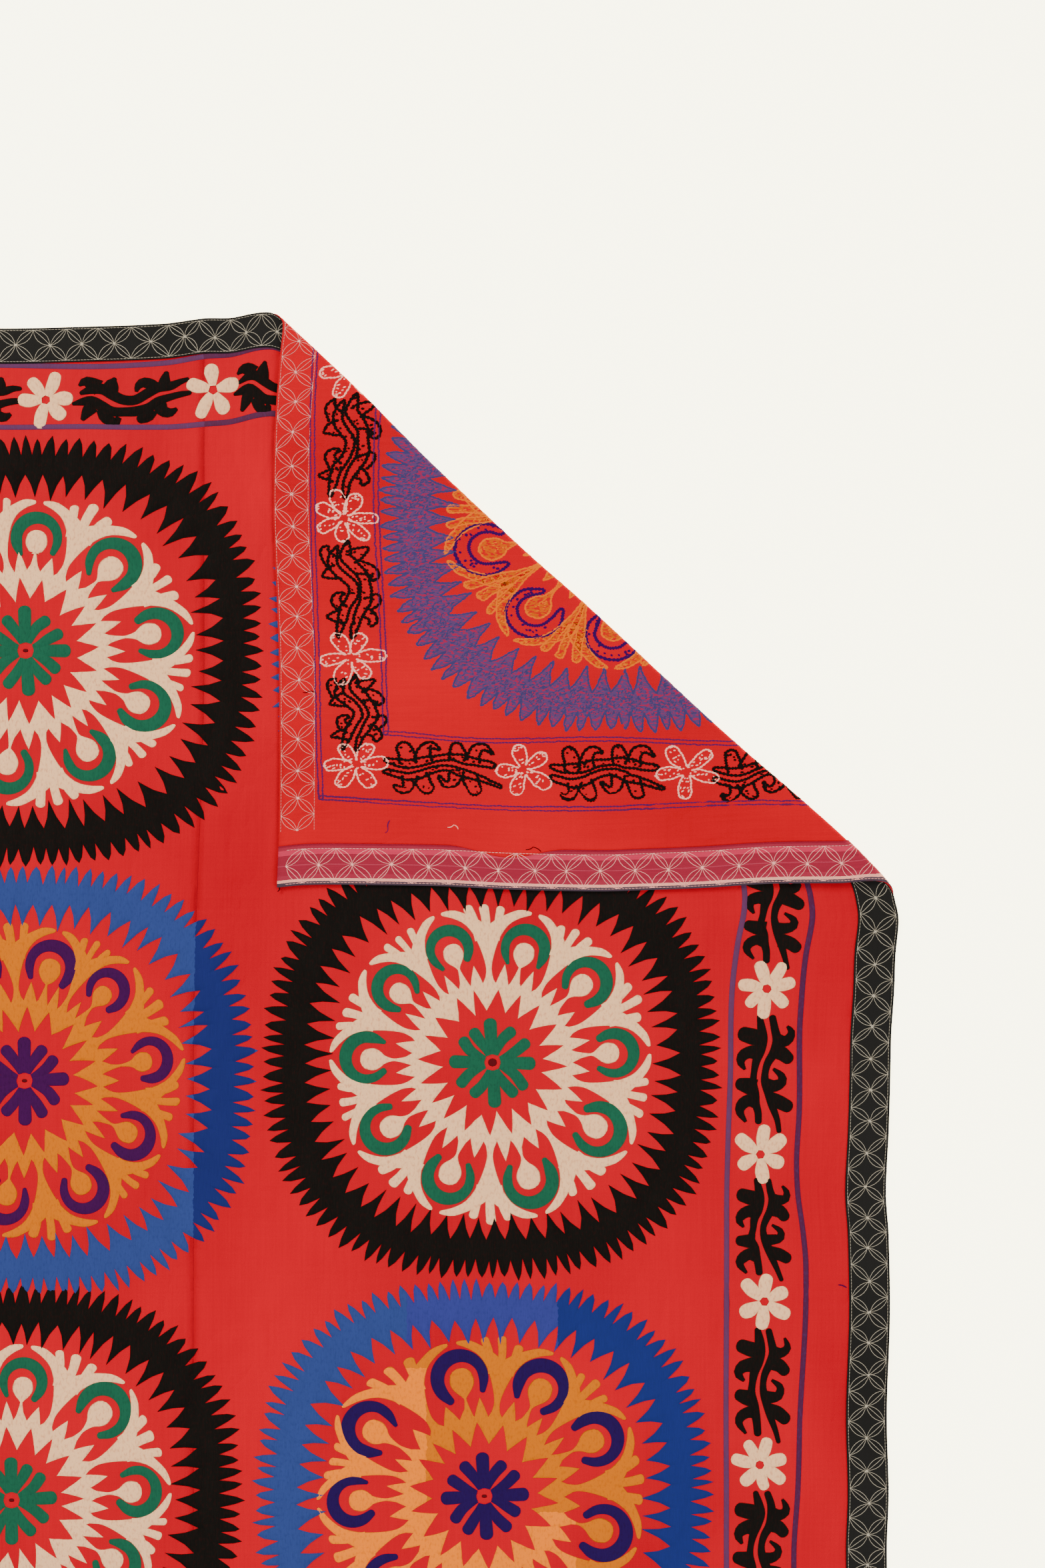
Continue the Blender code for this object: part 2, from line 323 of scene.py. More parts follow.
def startMaterial(name, roughness):
    material = bpy.data.materials.new(name)
    material.use_nodes = True
    tree = material.node_tree
    shader = tree.nodes["Principled BSDF"]
    shader.inputs["Roughness"].default_value = roughness
    shader.inputs["IOR"].default_value = fibre["ior"]
    shader.inputs["Specular IOR Level"].default_value = fibre["gloss"]
    place = addNode(tree, "ShaderNodeUVMap", uv_map="cloth")
    return material, tree, shader, place.outputs["UV"]


def scaled(tree, place, perS, perT):
    mapping = addNode(tree, "ShaderNodeMapping", {"Scale": (perS, perT, 1.0)}, {"Vector": place})
    return mapping.outputs["Vector"]


def math2(tree, operation, a, b=0.0):
    node = addNode(tree, "ShaderNodeMath", operation=operation)
    for socket, value in ((0, a), (1, b)):
        if isinstance(value, (int, float)):
            node.inputs[socket].default_value = value
        else:
            tree.links.new(value, node.inputs[socket])
    return node.outputs[0]


def mixColour(tree, factor, first, second, blend="MIX"):
    node = addNode(tree, "ShaderNodeMix", data_type="RGBA", blend_type=blend)
    for socket, value in ((0, factor), (6, first), (7, second)):
        if isinstance(value, (int, float, tuple)):
            node.inputs[socket].default_value = value
        else:
            tree.links.new(value, node.inputs[socket])
    return node.outputs[2]


def mapped(tree, value, low, high, toLow=0.0, toHigh=1.0):
    node = addNode(tree, "ShaderNodeMapRange", {1: low, 2: high, 3: toLow, 4: toHigh}, {0: value})
    return node.outputs[0]


def noise(tree, place, scale, detail=2.0):
    node = addNode(tree, "ShaderNodeTexNoise", {"Scale": scale, "Detail": detail}, {"Vector": place})
    return node.outputs[0]


def addBump(tree, shader, height, distance, strength=1.0):
    bump = addNode(tree, "ShaderNodeBump", {"Strength": strength, "Distance": distance}, {"Height": height})
    tree.links.new(bump.outputs["Normal"], shader.inputs["Normal"])


def cottonMaterial(spec):
    # plain weave: fine crossing yarns, faint streaks down the warp and slow changes of dye
    material, tree, shader, place = startMaterial(spec["name"], spec["roughness"])
    cloud = noise(tree, scaled(tree, place, *weave["cloud"]), 1.0, 3.0)
    streak = noise(tree, scaled(tree, place, *weave["streak"]), 1.0, 2.0)
    crossStreak = noise(tree, scaled(tree, place, *weave["crossStreak"]), 1.0, 2.0)
    warp, weft = (addNode(tree, "ShaderNodeTexWave", {"Scale": 1 / (spec["yarn"] * 3.2)}, {"Vector": place},
                          bands_direction=axis).outputs["Fac"] for axis in "XY")
    tone = mapped(tree, cloud, 0.3, 0.7, -0.5, 0.5)
    tone = math2(tree, "ADD", tone, mapped(tree, streak, 0.3, 0.7, -0.12, 0.12))
    tone = math2(tree, "ADD", tone, mapped(tree, crossStreak, 0.3, 0.7, -0.06, 0.06))
    tone = mapped(tree, tone, -0.9, 0.9)
    colour = mixColour(tree, tone, linear(spec["dark"]), linear(spec["light"]))
    tree.links.new(colour, shader.inputs["Base Color"])
    yarns = math2(tree, "ADD", warp, weft)
    height = math2(tree, "ADD", math2(tree, "MULTIPLY", yarns, 0.5), math2(tree, "MULTIPLY", streak, 0.9))
    # slow creases from long folding
    crease = noise(tree, scaled(tree, place, *weave["crease"]), 1.0, 3.0)
    ridge = math2(tree, "ABSOLUTE", math2(tree, "SUBTRACT", crease, 0.5))
    soft = math2(tree, "MULTIPLY", mapped(tree, ridge, 0.0, 0.10), weave["creaseHeight"])
    addBump(tree, shader, math2(tree, "ADD", height, soft), weave["bump"], weave["bumpStrength"])
    return material


def cycles(tree, place, size):
    return scaled(tree, place, 1 / size[0], 1 / size[1])


def threadMaterial(spec):
    # laid threads down the cloth, held by small couching stitches that show as fine dark flecks
    # foot sets how strong the painted shade at the foot of the threads is
    spec = {"roughness": 0.7, "foot": 0.6, "flecks": 0.0, "fleckColour": "#000000", **spec}
    material, tree, shader, place = startMaterial(spec["name"], spec["roughness"])
    strands = noise(tree, cycles(tree, place, threadGrain["strands"]), 1.0, 2.0)
    cloud = noise(tree, cycles(tree, place, threadGrain["cloud"]), 1.0, 2.0)
    flecks = noise(tree, cycles(tree, place, threadGrain["flecks"]), 1.0, 3.0)
    tone = mapped(tree, strands, 0.3, 0.7, 0.0, 0.6)
    tone = math2(tree, "ADD", tone, mapped(tree, cloud, 0.3, 0.7, 0.0, 0.4))
    base = linear(spec["colour"])
    for patch in spec.get("patches", ()):
        base = mixColour(tree, patchMask(tree, place, patch), base, linear(patch["colour"]))
    dark = mixColour(tree, 1.0, base, (spec["depth"],) * 3 + (1.0,), "MULTIPLY")
    colour = mixColour(tree, tone, dark, base)
    fleck = math2(tree, "MULTIPLY", mapped(tree, flecks, 0.50, 0.72), spec["flecks"])
    colour = mixColour(tree, fleck, colour, linear(spec["fleckColour"]))
    if "ground" in spec:
        # loose back stitches that let the cloth show between them
        wide, long = threadGrain["backStitch"]
        turned = {"Rotation": (0.0, 0.0, threadGrain["backSlant"]), "Scale": (1 / wide, 1 / long, 1.0)}
        slant = addNode(tree, "ShaderNodeMapping", turned, {"Vector": place}).outputs["Vector"]
        stitched = noise(tree, slant, 1.0, 1.0)
        bare = mapped(tree, stitched, spec["open"] - 0.03, spec["open"] + 0.05, 1.0, 0.0)
        colour = mixColour(tree, bare, colour, linear(spec["ground"]))
    # painted shade: the foot of the threads, which lies in the shadow of the ones above, is darkened in their
    # colour
    rise = addNode(tree, "ShaderNodeAttribute", attribute_name="rise").outputs["Fac"]
    shadow = mapped(tree, rise, 0.06, 0.34, spec["foot"], 0.0)
    colour = mixColour(tree, shadow, colour, linear(threadGrain["footShadeColour"]))
    tree.links.new(colour, shader.inputs["Base Color"])
    height = math2(tree, "SUBTRACT", strands, math2(tree, "MULTIPLY", fleck, 0.6))
    addBump(tree, shader, height, threadGrain["bump"], threadGrain["bumpStrength"])
    return material


def patchMask(tree, place, patch):
    # a box on the cloth where the maker ran out of one thread and went on with another
    parts = addNode(tree, "ShaderNodeSeparateXYZ", None, {0: place})
    ragged = math2(tree, "MULTIPLY", math2(tree, "SUBTRACT", noise(tree, place, 160.0), 0.5), 0.006)
    s = math2(tree, "ADD", parts.outputs[0], ragged)
    t = math2(tree, "ADD", parts.outputs[1], ragged)
    mask = math2(tree, "GREATER_THAN", s, patch["s"][0])
    mask = math2(tree, "MULTIPLY", mask, math2(tree, "LESS_THAN", s, patch["s"][1]))
    mask = math2(tree, "MULTIPLY", mask, math2(tree, "GREATER_THAN", t, patch["t"][0]))
    return math2(tree, "MULTIPLY", mask, math2(tree, "LESS_THAN", t, patch["t"][1]))


# The ground: a full warm red without shine, its yarns only just seen
redFront = {"name": "red plain-woven cotton, matt", "roughness": 0.9, "yarn": 0.0006,
            "dark": "#a40017", "light": "#c8031d"}
# The same cloth from behind, a shade brighter
redBack = {"name": "red plain-woven cotton, matt reverse", "roughness": 0.9, "yarn": 0.0006,
           "dark": "#a60013", "light": "#c90419"}
# The edging: a soft, nearly neutral black that the stitching stands out from
blackCloth = {"name": "black cotton sateen, soft sheen", "roughness": 0.75, "yarn": 0.0005,
              "dark": "#1a1917", "light": "#22211f"}

# Stripes woven along the inside strip, by their place across the cloth
facingStripes = (
    # from s, colour
    (0.9000, "#8c1c30"),
    (0.9262, "#98283a"),
    (0.9300, "#c0324c"),
    (0.9362, "#932436"),
    (0.9480, "#a83a4c"),
    (0.9490, "#932436"),
    (0.9600, "#9c2c3e"),
    (0.9652, "#f0a08c"),
    (0.9686, "#4a3c46"),
)


def stripedMaterial(spec, stripes):
    material = cottonMaterial(spec)
    tree = material.node_tree
    shader = tree.nodes["Principled BSDF"]
    place = tree.nodes["UV Map"].outputs["UV"]
    across = addNode(tree, "ShaderNodeSeparateXYZ", None, {0: place}).outputs[0]
    ragged = math2(tree, "MULTIPLY", math2(tree, "SUBTRACT", noise(tree, place, 900.0), 0.5), 0.0012)
    across = math2(tree, "ADD", across, ragged)
    colour = linear(stripes[0][1])
    for start, hexColour in stripes[1:]:
        colour = mixColour(tree, math2(tree, "GREATER_THAN", across, start), colour, linear(hexColour))
    streak = noise(tree, scaled(tree, place, 1800.0, 30.0), 1.0)
    colour = mixColour(tree, mapped(tree, streak, 0.3, 0.7, 0.0, 0.22), colour, linear("#40101c"))
    tree.links.new(colour, shader.inputs["Base Color"])
    return material


materials = {}
for key, spec in (("redFront", redFront), ("redBack", redBack), ("blackCloth", blackCloth)):
    materials[key] = cottonMaterial(spec)
# Rosy stripes with one pale line along the outer edge
materials["facing"] = stripedMaterial(
    {"name": "crimson striped cotton, matt", "roughness": 0.85, "yarn": 0.0006,
     "dark": "#8a0a2a", "light": "#9a1034"}, facingStripes)

threadSpecs = {
    # deep black that swallows the light, a little brown where stitches cross it
    "black": {"name": "black cotton thread, laid and couched", "colour": "#14110e", "depth": 0.6,
              "flecks": 0.25, "fleckColour": "#300a0a"},
    # warm off-white, the brightest thing on the cloth, pinker at its stitches
    "cream": {"name": "cream cotton thread, laid and couched", "colour": "#f2bc89", "depth": 0.92,
              "flecks": 0.5, "fleckColour": "#b0604a"},
    # bottle green, cool beside the cream
    "green": {"name": "green silk thread, laid and couched", "colour": "#1b563e", "depth": 0.78,
              "flecks": 0.3, "fleckColour": "#0c2c20"},
    # strong mid blue, in places from a darker batch
    "blue": {"name": "blue cotton thread, laid and couched", "colour": "#2e3e76", "depth": 0.82,
             "flecks": 0.3, "fleckColour": "#1c2656",
             "patches": ({"s": (cloth["seam"], 0.262), "t": (-0.05, 0.5), "colour": "#1d245e"},
                         {"s": (0.60, 1.0), "t": (-0.6, -0.01), "colour": "#1d2866"},
                         {"s": (0.43, 0.60), "t": (-0.13, 0.01), "colour": "#32367a"})},
    # glowing orange, brighter low down on the right
    "orange": {"name": "orange silk thread, laid and couched", "colour": "#c46600", "depth": 0.94,
               "flecks": 0.35, "fleckColour": "#8a3c00",
               "patches": ({"s": (0.30, 0.452), "t": (-0.6, -0.10), "colour": "#ec7a0c"},
                           {"s": (0.452, 0.62), "t": (-0.6, -0.262), "colour": "#ec7a0c"})},
    # purple so dark that it reads as ink, bluer low down on the right
    "purple": {"name": "purple silk thread, laid and couched", "colour": "#3c0a42", "depth": 0.8,
               "flecks": 0.3, "fleckColour": "#1e0424",
               "patches": ({"s": (0.25, 0.9), "t": (-0.6, 0.0), "colour": "#220b46"},)},
    # dull violet that frames the borders quietly
    "line": {"name": "violet-blue cotton thread, chain stitched", "colour": "#5a3050", "depth": 0.8,
             "flecks": 0.2, "fleckColour": "#4a3a70",
             "patches": ({"s": (cloth["seam"], 0.84), "t": (0.9, 1.2), "colour": "#50243e"},
                         {"s": (0.84, 1.0), "t": (-1.1, 1.1), "colour": "#4a1d3c"})},
    # small dark middles of the flowers
    "darkRed": {"name": "dark red cotton thread, laid and couched", "colour": "#530e14", "depth": 0.8,
                "flecks": 0.2, "fleckColour": "#4a0a0a"},
    # only a dark hairline between the panels
    "seam": {"name": "dark red sewing cotton", "colour": "#860614", "depth": 0.8, "foot": 0.0},
    # fine pale lines over the black edging
    "grey": {"name": "grey cotton machine thread", "colour": "#b4aa94", "depth": 0.85},
    # the same lines on the reverse, pink on the red
    "pale": {"name": "pale pink cotton machine thread", "colour": "#ffb4a6", "depth": 0.9},
    # thin broken outlines on the reverse of the black work
    "blackBack": {"name": "black cotton thread, reverse stitches",
                  "colour": "#120c0a", "depth": 0.7, "foot": 0.0},
    # the same for the cream work, tinted by the red around it
    "pinkBack": {"name": "cream cotton thread, reverse stitches",
                 "colour": "#fba892", "depth": 0.85, "foot": 0.0},
    # cool outlines of the ring's teeth
    "blueBack": {"name": "blue cotton thread, reverse stitches",
                 "colour": "#3a3460", "depth": 0.8, "foot": 0.0},
    # a violet haze, where blue stitches let the red show between them
    "blueFilling": {"name": "blue cotton thread, dense reverse stitches",
                    "colour": "#523660", "depth": 0.85, "ground": "#8c1c40", "open": 0.44, "foot": 0.0},
    # bright outlines of the palmettes
    "orangeBack": {"name": "orange silk thread, reverse stitches",
                   "colour": "#d66400", "depth": 0.9, "foot": 0.0},
    # a speckled orange with the red showing through
    "orangeFilling": {"name": "orange silk thread, dense reverse stitches",
                      "colour": "#bc5000", "depth": 0.9, "ground": "#b8060e", "open": 0.46, "foot": 0.0},
    # bold dark lines around the crescents
    "purpleBack": {"name": "purple silk thread, reverse stitches",
                   "colour": "#2f0049", "depth": 0.8, "foot": 0.0},
    # two thin violet lines for each chain-stitched one
    "lineBack": {"name": "violet cotton thread, reverse stitches",
                 "colour": "#521a4c", "depth": 0.8, "foot": 0.0},
}
for key, spec in threadSpecs.items():
    materials[key] = threadMaterial(spec)
print("materials ready")


# Sheets

def setMesh(name, points, faces, flat, materialKeys):
    mesh = bpy.data.meshes.new(name)
    mesh.from_pydata(points.tolist(), [], faces.tolist() if hasattr(faces, "tolist") else faces)
    layer = mesh.uv_layers.new(name="cloth")
    corners = np.empty(len(mesh.loops), dtype=np.int32)
    mesh.loops.foreach_get("vertex_index", corners)
    layer.data.foreach_set("uv", flat[corners].astype(np.float32).ravel())
    mesh.polygons.foreach_set("use_smooth", np.ones(len(mesh.polygons), dtype=bool))
    for key in materialKeys:
        mesh.materials.append(materials[key])
    mesh.update()
    obj = bpy.data.objects.new(name, mesh)
    bpy.context.scene.collection.objects.link(obj)
    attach(obj, "root")
    return obj


def foldRuns():
    runs = [bendLength * i / fold["stations"] for i in range(fold["stations"] + 1)]
    return runs + [bendLength + fold["ease"] * i / 8 for i in range(1, 9)]


def bisectAtFold(bm, runs):
    for run in runs:
        place = foldTop + foldOut * (bendStart + run)
        bmesh.ops.bisect_plane(bm, geom=bm.verts[:] + bm.edges[:] + bm.faces[:], dist=0.00001,
                               plane_co=(place[0], place[1], 0.0), plane_no=(foldOut[0], foldOut[1], 0.0))


def readBmesh(bm):
    bm.verts.index_update()
    points = np.array([v.co[:] for v in bm.verts])
    faces = [[v.index for v in f.verts] for f in bm.faces]
    return points, faces


def fillLines(marks, cell):
    lines = []
    for a, b in zip(marks, marks[1:]):
        count = max(1, math.ceil((b - a) / cell))
        lines += [a + (b - a) * i / count for i in range(count)]
    return np.array(lines + [marks[-1]])


def makeSheet(spec):
    s = fillLines(spec["s"], spec.get("cell", cloth["cell"]))
    t = fillLines(spec["t"], spec.get("cell", cloth["cell"]))
    gridS, gridT = np.meshgrid(s, t, indexing="ij")
    if "dipAt" in spec:
        away = np.abs(gridT - spec["dipAt"]) / dip["reach"]
        gridS = gridS + dip["depth"] * (1 - smoothStep(away)) * (s[-1] - gridS) / (s[-1] - s[0])
    x, y = layOut(gridS.ravel(), gridT.ravel())
    index = np.arange(len(s) * len(t)).reshape(len(s), len(t))
    quads = np.stack([index[:-1, :-1], index[1:, :-1], index[1:, 1:], index[:-1, 1:]], axis=-1).reshape(-1, 4)
    mesh = bpy.data.meshes.new("work")
    mesh.from_pydata(np.stack([x, y, x * 0], axis=-1).tolist(), [], quads.tolist())
    bm = bmesh.new()
    bm.from_mesh(mesh)
    bpy.data.meshes.remove(mesh)
    if foldPlace(x, y)[1].max() > bendStart:
        bisectAtFold(bm, foldRuns())
    points, faces = readBmesh(bm)
    bm.free()
    s, t = flatPlace(points[:, 0], points[:, 1])
    folded = foldOver(s, points[:, 0], points[:, 1], spec["lift"])
    obj = setMesh(spec["name"], folded, faces, np.stack([s, t], axis=-1), (spec["front"], spec["back"]))
    solidify = obj.modifiers.new("thickness", "SOLIDIFY")
    solidify.thickness = spec["thick"]
    solidify.offset = 0.0
    solidify.use_even_offset = True
    solidify.material_offset = 1
    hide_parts(spec["node"])
    return obj


w, h = halfWidth, halfHeight
seam, gap = cloth["seam"], cloth["gap"]
side, end = cloth["sideEdging"], cloth["endEdging"]
panelLook = {"lift": 0.0, "thick": cloth["panelThick"], "front": "redFront", "back": "redBack",
             "slot": "panel_cloth", "t": (-h, h)}
edgingLook = {"lift": cloth["stripLift"], "thick": cloth["stripThick"], "front": "blackCloth",
              "back": "blackCloth", "slot": "edging_cloth", "cell": 0.0075}
for spec in (
    {"name": "redPanelLeft", "node": "panel_left", "s": (-w, -w + side, -seam - gap / 2), **panelLook},
    {"name": "redPanelMiddle", "node": "panel_middle", "s": (-seam + gap / 2, seam - gap / 2), **panelLook},
    {"name": "redPanelRight", "node": "panel_right",
     "s": (seam + gap / 2, w - cloth["facing"] - step["width"], w - cloth["facing"], w - side, w),
     **panelLook},
    {"name": "blackEdgingLeft", "node": "edging_left", "s": (-w, -w + side), "t": (-h, h), **edgingLook},
    {"name": "blackEdgingRight", "node": "edging_right", "s": (w - side, w), "t": (-h, h), **edgingLook},
    {"name": "blackEdgingTop", "node": "edging_top", "s": (-w + side + gap, w - side - gap),
     "t": (h - end, h), **edgingLook},
    {"name": "blackEdgingBottom", "node": "edging_bottom", "s": (-w + side + gap, w - side - gap),
     "t": (-h, -h + end), **edgingLook},
    {"name": "stripedFacingRight", "node": "facing_right", "s": (w - cloth["facing"], w), "t": (-h, h),
     "lift": -cloth["stripLift"], "thick": cloth["stripThick"], "front": "facing", "back": "facing",
     "slot": "facing_cloth", "cell": 0.006, "dipAt": float(clothUnder(dip["x"], dip["y"])[1])},
):
    makeSheet(spec)
print("sheets ready")


# Thread work is gathered by colour as strips of points (s, t, lift) and draped at the end

threads = {}
profile = {"across": np.array((-1.06, -0.9, 0.0, 0.9, 1.06)), "rise": np.array((-0.3, 0.72, 1.0, 0.72, -0.3))}
roundEnd = {"turns": np.radians((25.0, 50.0, 72.0, 90.0)), "length": 0.82, "crown": (1.0, 1.0, 0.8, -0.35)}
clothFace = cloth["panelThick"] / 2
flapFrom = -0.012


def onFlap(s, t):
    return foldPlace(s, t)[1] > flapFrom


def addStrip(key, rows, closed=False, side=1):
    # rows has the shape (strips, along, across, 3) or (along, across, 3)
    rows = rows if rows.ndim == 4 else rows[None]
    k, n, m = rows.shape[:3]
    group = threads.setdefault(key, {"points": [], "faces": [], "near": [], "count": 0})
    index = np.arange(k * n * m).reshape(k, n, m)
    if closed:
        index = np.concatenate([index, index[:, :1]], axis=1)
    quads = np.stack([index[:, :-1, :-1], index[:, 1:, :-1], index[:, 1:, 1:], index[:, :-1, 1:]], axis=-1)
    flat = rows.reshape(-1, 3)
    a, b, c = (flat[quads[..., i]] for i in (0, 1, 3))
    first, second = b - a, c - a
    turn = first[..., 0] * second[..., 1] - first[..., 1] * second[..., 0]
    wrong = turn.sum(axis=(1, 2)) * side < 0
    quads = np.where(wrong[:, None, None, None], quads[..., ::-1], quads).reshape(-1, 4)
    out = foldPlace(flat[:, 0], flat[:, 1])[1]
    if side < 0:
        quads = quads[out[quads].min(axis=1) > flapFrom]
    group["points"].append(flat)
    group["faces"].append(quads + group["count"])
    group["near"].append(out[quads].max(axis=1) > -0.03)
    group["count"] += len(flat)


def stitches(key, starts, ends, half=0.5, high=0.35, base=clothFace, side=1, bow=0.0, stations=3):
    # many thin stitches at once: starts and ends are arrays of s, t; half, high and bow are in mm
    if len(starts) == 0:
        return
    share = np.linspace(0.0, 1.0, stations)
    run = ends - starts
    length = np.maximum(np.hypot(run[:, 0], run[:, 1]), 1e-6)
    normal = np.stack([-run[:, 1], run[:, 0]], axis=-1) / length[:, None]
    bend = np.broadcast_to(bow, len(starts))[:, None] * mm * (4 * share * (1 - share))[None, :]
    spine = starts[:, None, :] + run[:, None, :] * share[None, :, None] + normal[:, None, :] * bend[..., None]
    width = np.full(stations, half * mm)
    width[0] = width[-1] = half * mm * (0.55 if stations < 5 else 0.8)
    across = np.array((-1.0, 0.0, 1.0))
    offset = (width[:, None] * across[None, :])[None, :, :, None]
    flat = spine[:, :, None, :] + normal[:, None, None, :] * offset
    rise = base + side * high * mm * np.array((-0.3, 1.0, -0.3))
    lift = np.broadcast_to(rise, flat.shape[:3])
    addStrip(key, np.concatenate([flat, lift[..., None]], axis=-1), side=side)


# The reverse of the work shows on the folded corner: outlines in back stitch, some filled with short stitches
reverse = {
    # thread, half width of its stitches in mm, share of them inside a shape, filling
    "black": {"key": "blackBack", "half": 2.6, "inside": 0.012},
    "cream": {"key": "pinkBack", "half": 1.5, "inside": 0.04},
    "blue": {"key": "blueBack", "half": 1.8, "inside": 0.03, "filling": "blueFilling"},
    "orange": {"key": "orangeBack", "half": 1.7, "inside": 0.04, "filling": "orangeFilling"},
    "purple": {"key": "purpleBack", "half": 2.8, "inside": 0.012},
    "line": {"key": "lineBack", "half": 1.3, "inside": 0.0},
}


def reverseLine(key, s, t, wobble=0.35):
    # a thin unsteady line of back stitches through points s, t
    look = reverse[key]
    points = np.stack([s, t], axis=-1) + chance.normal(0, wobble * mm, (len(s), 2))
    pairs = onFlap(s, t)[:-1] & onFlap(s, t)[1:]
    ahead = (points[1:] - points[:-1]) * 0.04
    starts, ends = (points[:-1] - ahead)[pairs], (points[1:] + ahead)[pairs]
    stitches(look["key"], starts, ends, look["half"], 0.4, -clothFace, -1)


def reverseShape(key, s, t, closed=False):
    # s and t have the shape (along, across)
    if key not in reverse or not onFlap(s, t).any():
        return
    look = reverse[key]
    last = s.shape[1] - 1
    middleS, middleT = s.mean(axis=1, keepdims=True), t.mean(axis=1, keepdims=True)
    width = np.hypot(s[:, 0] - s[:, last], t[:, 0] - t[:, last]) / mm
    if "filling" in look:
        shrink = 0.92
        lift = np.full(s.shape, -clothFace - 0.0001)
        lift[:, 0] = lift[:, last] = -clothFace + 0.0001
        rows = np.stack([middleS + (s - middleS) * shrink, middleT + (t - middleT) * shrink, lift], axis=-1)
        addStrip(look["filling"], rows, closed, -1)
    for column in (0, last):
        inward = np.minimum(0.9 / np.maximum(width, 0.5), 0.4)
        lineS = s[:, column] + (s[:, last - column] - s[:, column]) * inward
        lineT = t[:, column] + (t[:, last - column] - t[:, column]) * inward
        reverseLine(key, lineS, lineT)
    run = np.hypot(*np.diff(np.stack([middleS[:, 0], middleT[:, 0]]), axis=1))
    area = float((width[:-1] * run / mm).sum())
    count = int(area * look["inside"])
    if count:
        row = chance.integers(0, len(s), count)
        share = chance.uniform(0.2, 0.8, count)
        spotS = s[row, 0] + (s[row, last] - s[row, 0]) * share
        spotT = t[row, 0] + (t[row, last] - t[row, 0]) * share
        spot = np.stack([spotS, spotT], axis=-1)
        angle = chance.normal(0.9, 0.6, count)
        reach = chance.uniform(0.8, 1.9, count)[:, None]
        run = np.stack([np.cos(angle), np.sin(angle)], axis=-1) * reach * mm
        keep = onFlap(spotS, spotT)
        starts, ends = (spot - run)[keep], (spot + run)[keep]
        stitches(look["key"], starts, ends, look["half"] * 0.75, 0.35, -clothFace, -1)


def ribbon(key, path, widths, place, high=0.55, caps=("round", "round"), spacing=4.5, base=clothFace):
    # path and widths (half widths) are in mm in the motif's own frame; place turns that frame into s, t
    path = np.asarray(path, float)
    widths = np.asarray(widths, float)
    marks = np.concatenate([[0.0], np.cumsum(np.hypot(*np.diff(path, axis=0).T))])
    at = np.linspace(0.0, marks[-1], max(5, int(marks[-1] / spacing) + 2))
    x = smoothCurve(at, marks, path[:, 0])
    y = smoothCurve(at, marks, path[:, 1])
    half = np.maximum(smoothCurve(at, marks, widths), 0.05)
    crown = np.ones(len(at))
    tangentX, tangentY = np.gradient(x, at), np.gradient(y, at)
    size = np.hypot(tangentX, tangentY)
    tangentX, tangentY = tangentX / size, tangentY / size
    turns = roundEnd["turns"]
    if caps[1] == "round":
        x = np.append(x, x[-1] + tangentX[-1] * half[-1] * np.sin(turns) * roundEnd["length"])
        y = np.append(y, y[-1] + tangentY[-1] * half[-1] * np.sin(turns) * roundEnd["length"])
        tangentX = np.append(tangentX, np.full(4, tangentX[-1]))
        tangentY = np.append(tangentY, np.full(4, tangentY[-1]))
        half = np.append(half, np.maximum(half[-1] * np.cos(turns), 0.02))
        crown = np.append(crown, roundEnd["crown"])
    if caps[0] == "round":
        x = np.append(x[0] - tangentX[0] * half[0] * np.sin(turns[::-1]) * roundEnd["length"], x)
        y = np.append(y[0] - tangentY[0] * half[0] * np.sin(turns[::-1]) * roundEnd["length"], y)
        tangentX = np.append(np.full(4, tangentX[0]), tangentX)
        tangentY = np.append(np.full(4, tangentY[0]), tangentY)
        half = np.append(np.maximum(half[0] * np.cos(turns[::-1]), 0.02), half)
        crown = np.append(roundEnd["crown"][::-1], crown)
    across = half[:, None] * profile["across"][None, :]
    localX = x[:, None] - tangentY[:, None] * across
    localY = y[:, None] + tangentX[:, None] * across
    lift = base + high * mm * np.minimum(profile["rise"][None, :], crown[:, None])
    s, t = place(localX, localY)
    addStrip(key, np.stack([s, t, lift], axis=-1))
    reverseShape(key, s, t)


def edgeBand(key, lower, upper, place, high=0.55, base=clothFace, samples=22):
    # a shape between two given edges, each a list of points in mm
    lower = np.asarray(lower, float)
    upper = np.asarray(upper, float)
    marks = np.arange(len(lower), dtype=float)
    at = np.linspace(0.0, marks[-1], samples)
    low = np.stack([smoothCurve(at, marks, lower[:, i]) for i in (0, 1)], axis=-1)
    top = np.stack([smoothCurve(at, marks, upper[:, i]) for i in (0, 1)], axis=-1)
    share = (profile["across"] + 1) / 2
    local = low[:, None, :] + (top - low)[:, None, :] * share[None, :, None]
    lift = np.broadcast_to(base + high * mm * profile["rise"], local.shape[:2])
    s, t = place(local[..., 0], local[..., 1])
    addStrip(key, np.stack([s, t, lift], axis=-1))
    reverseShape(key, s, t)


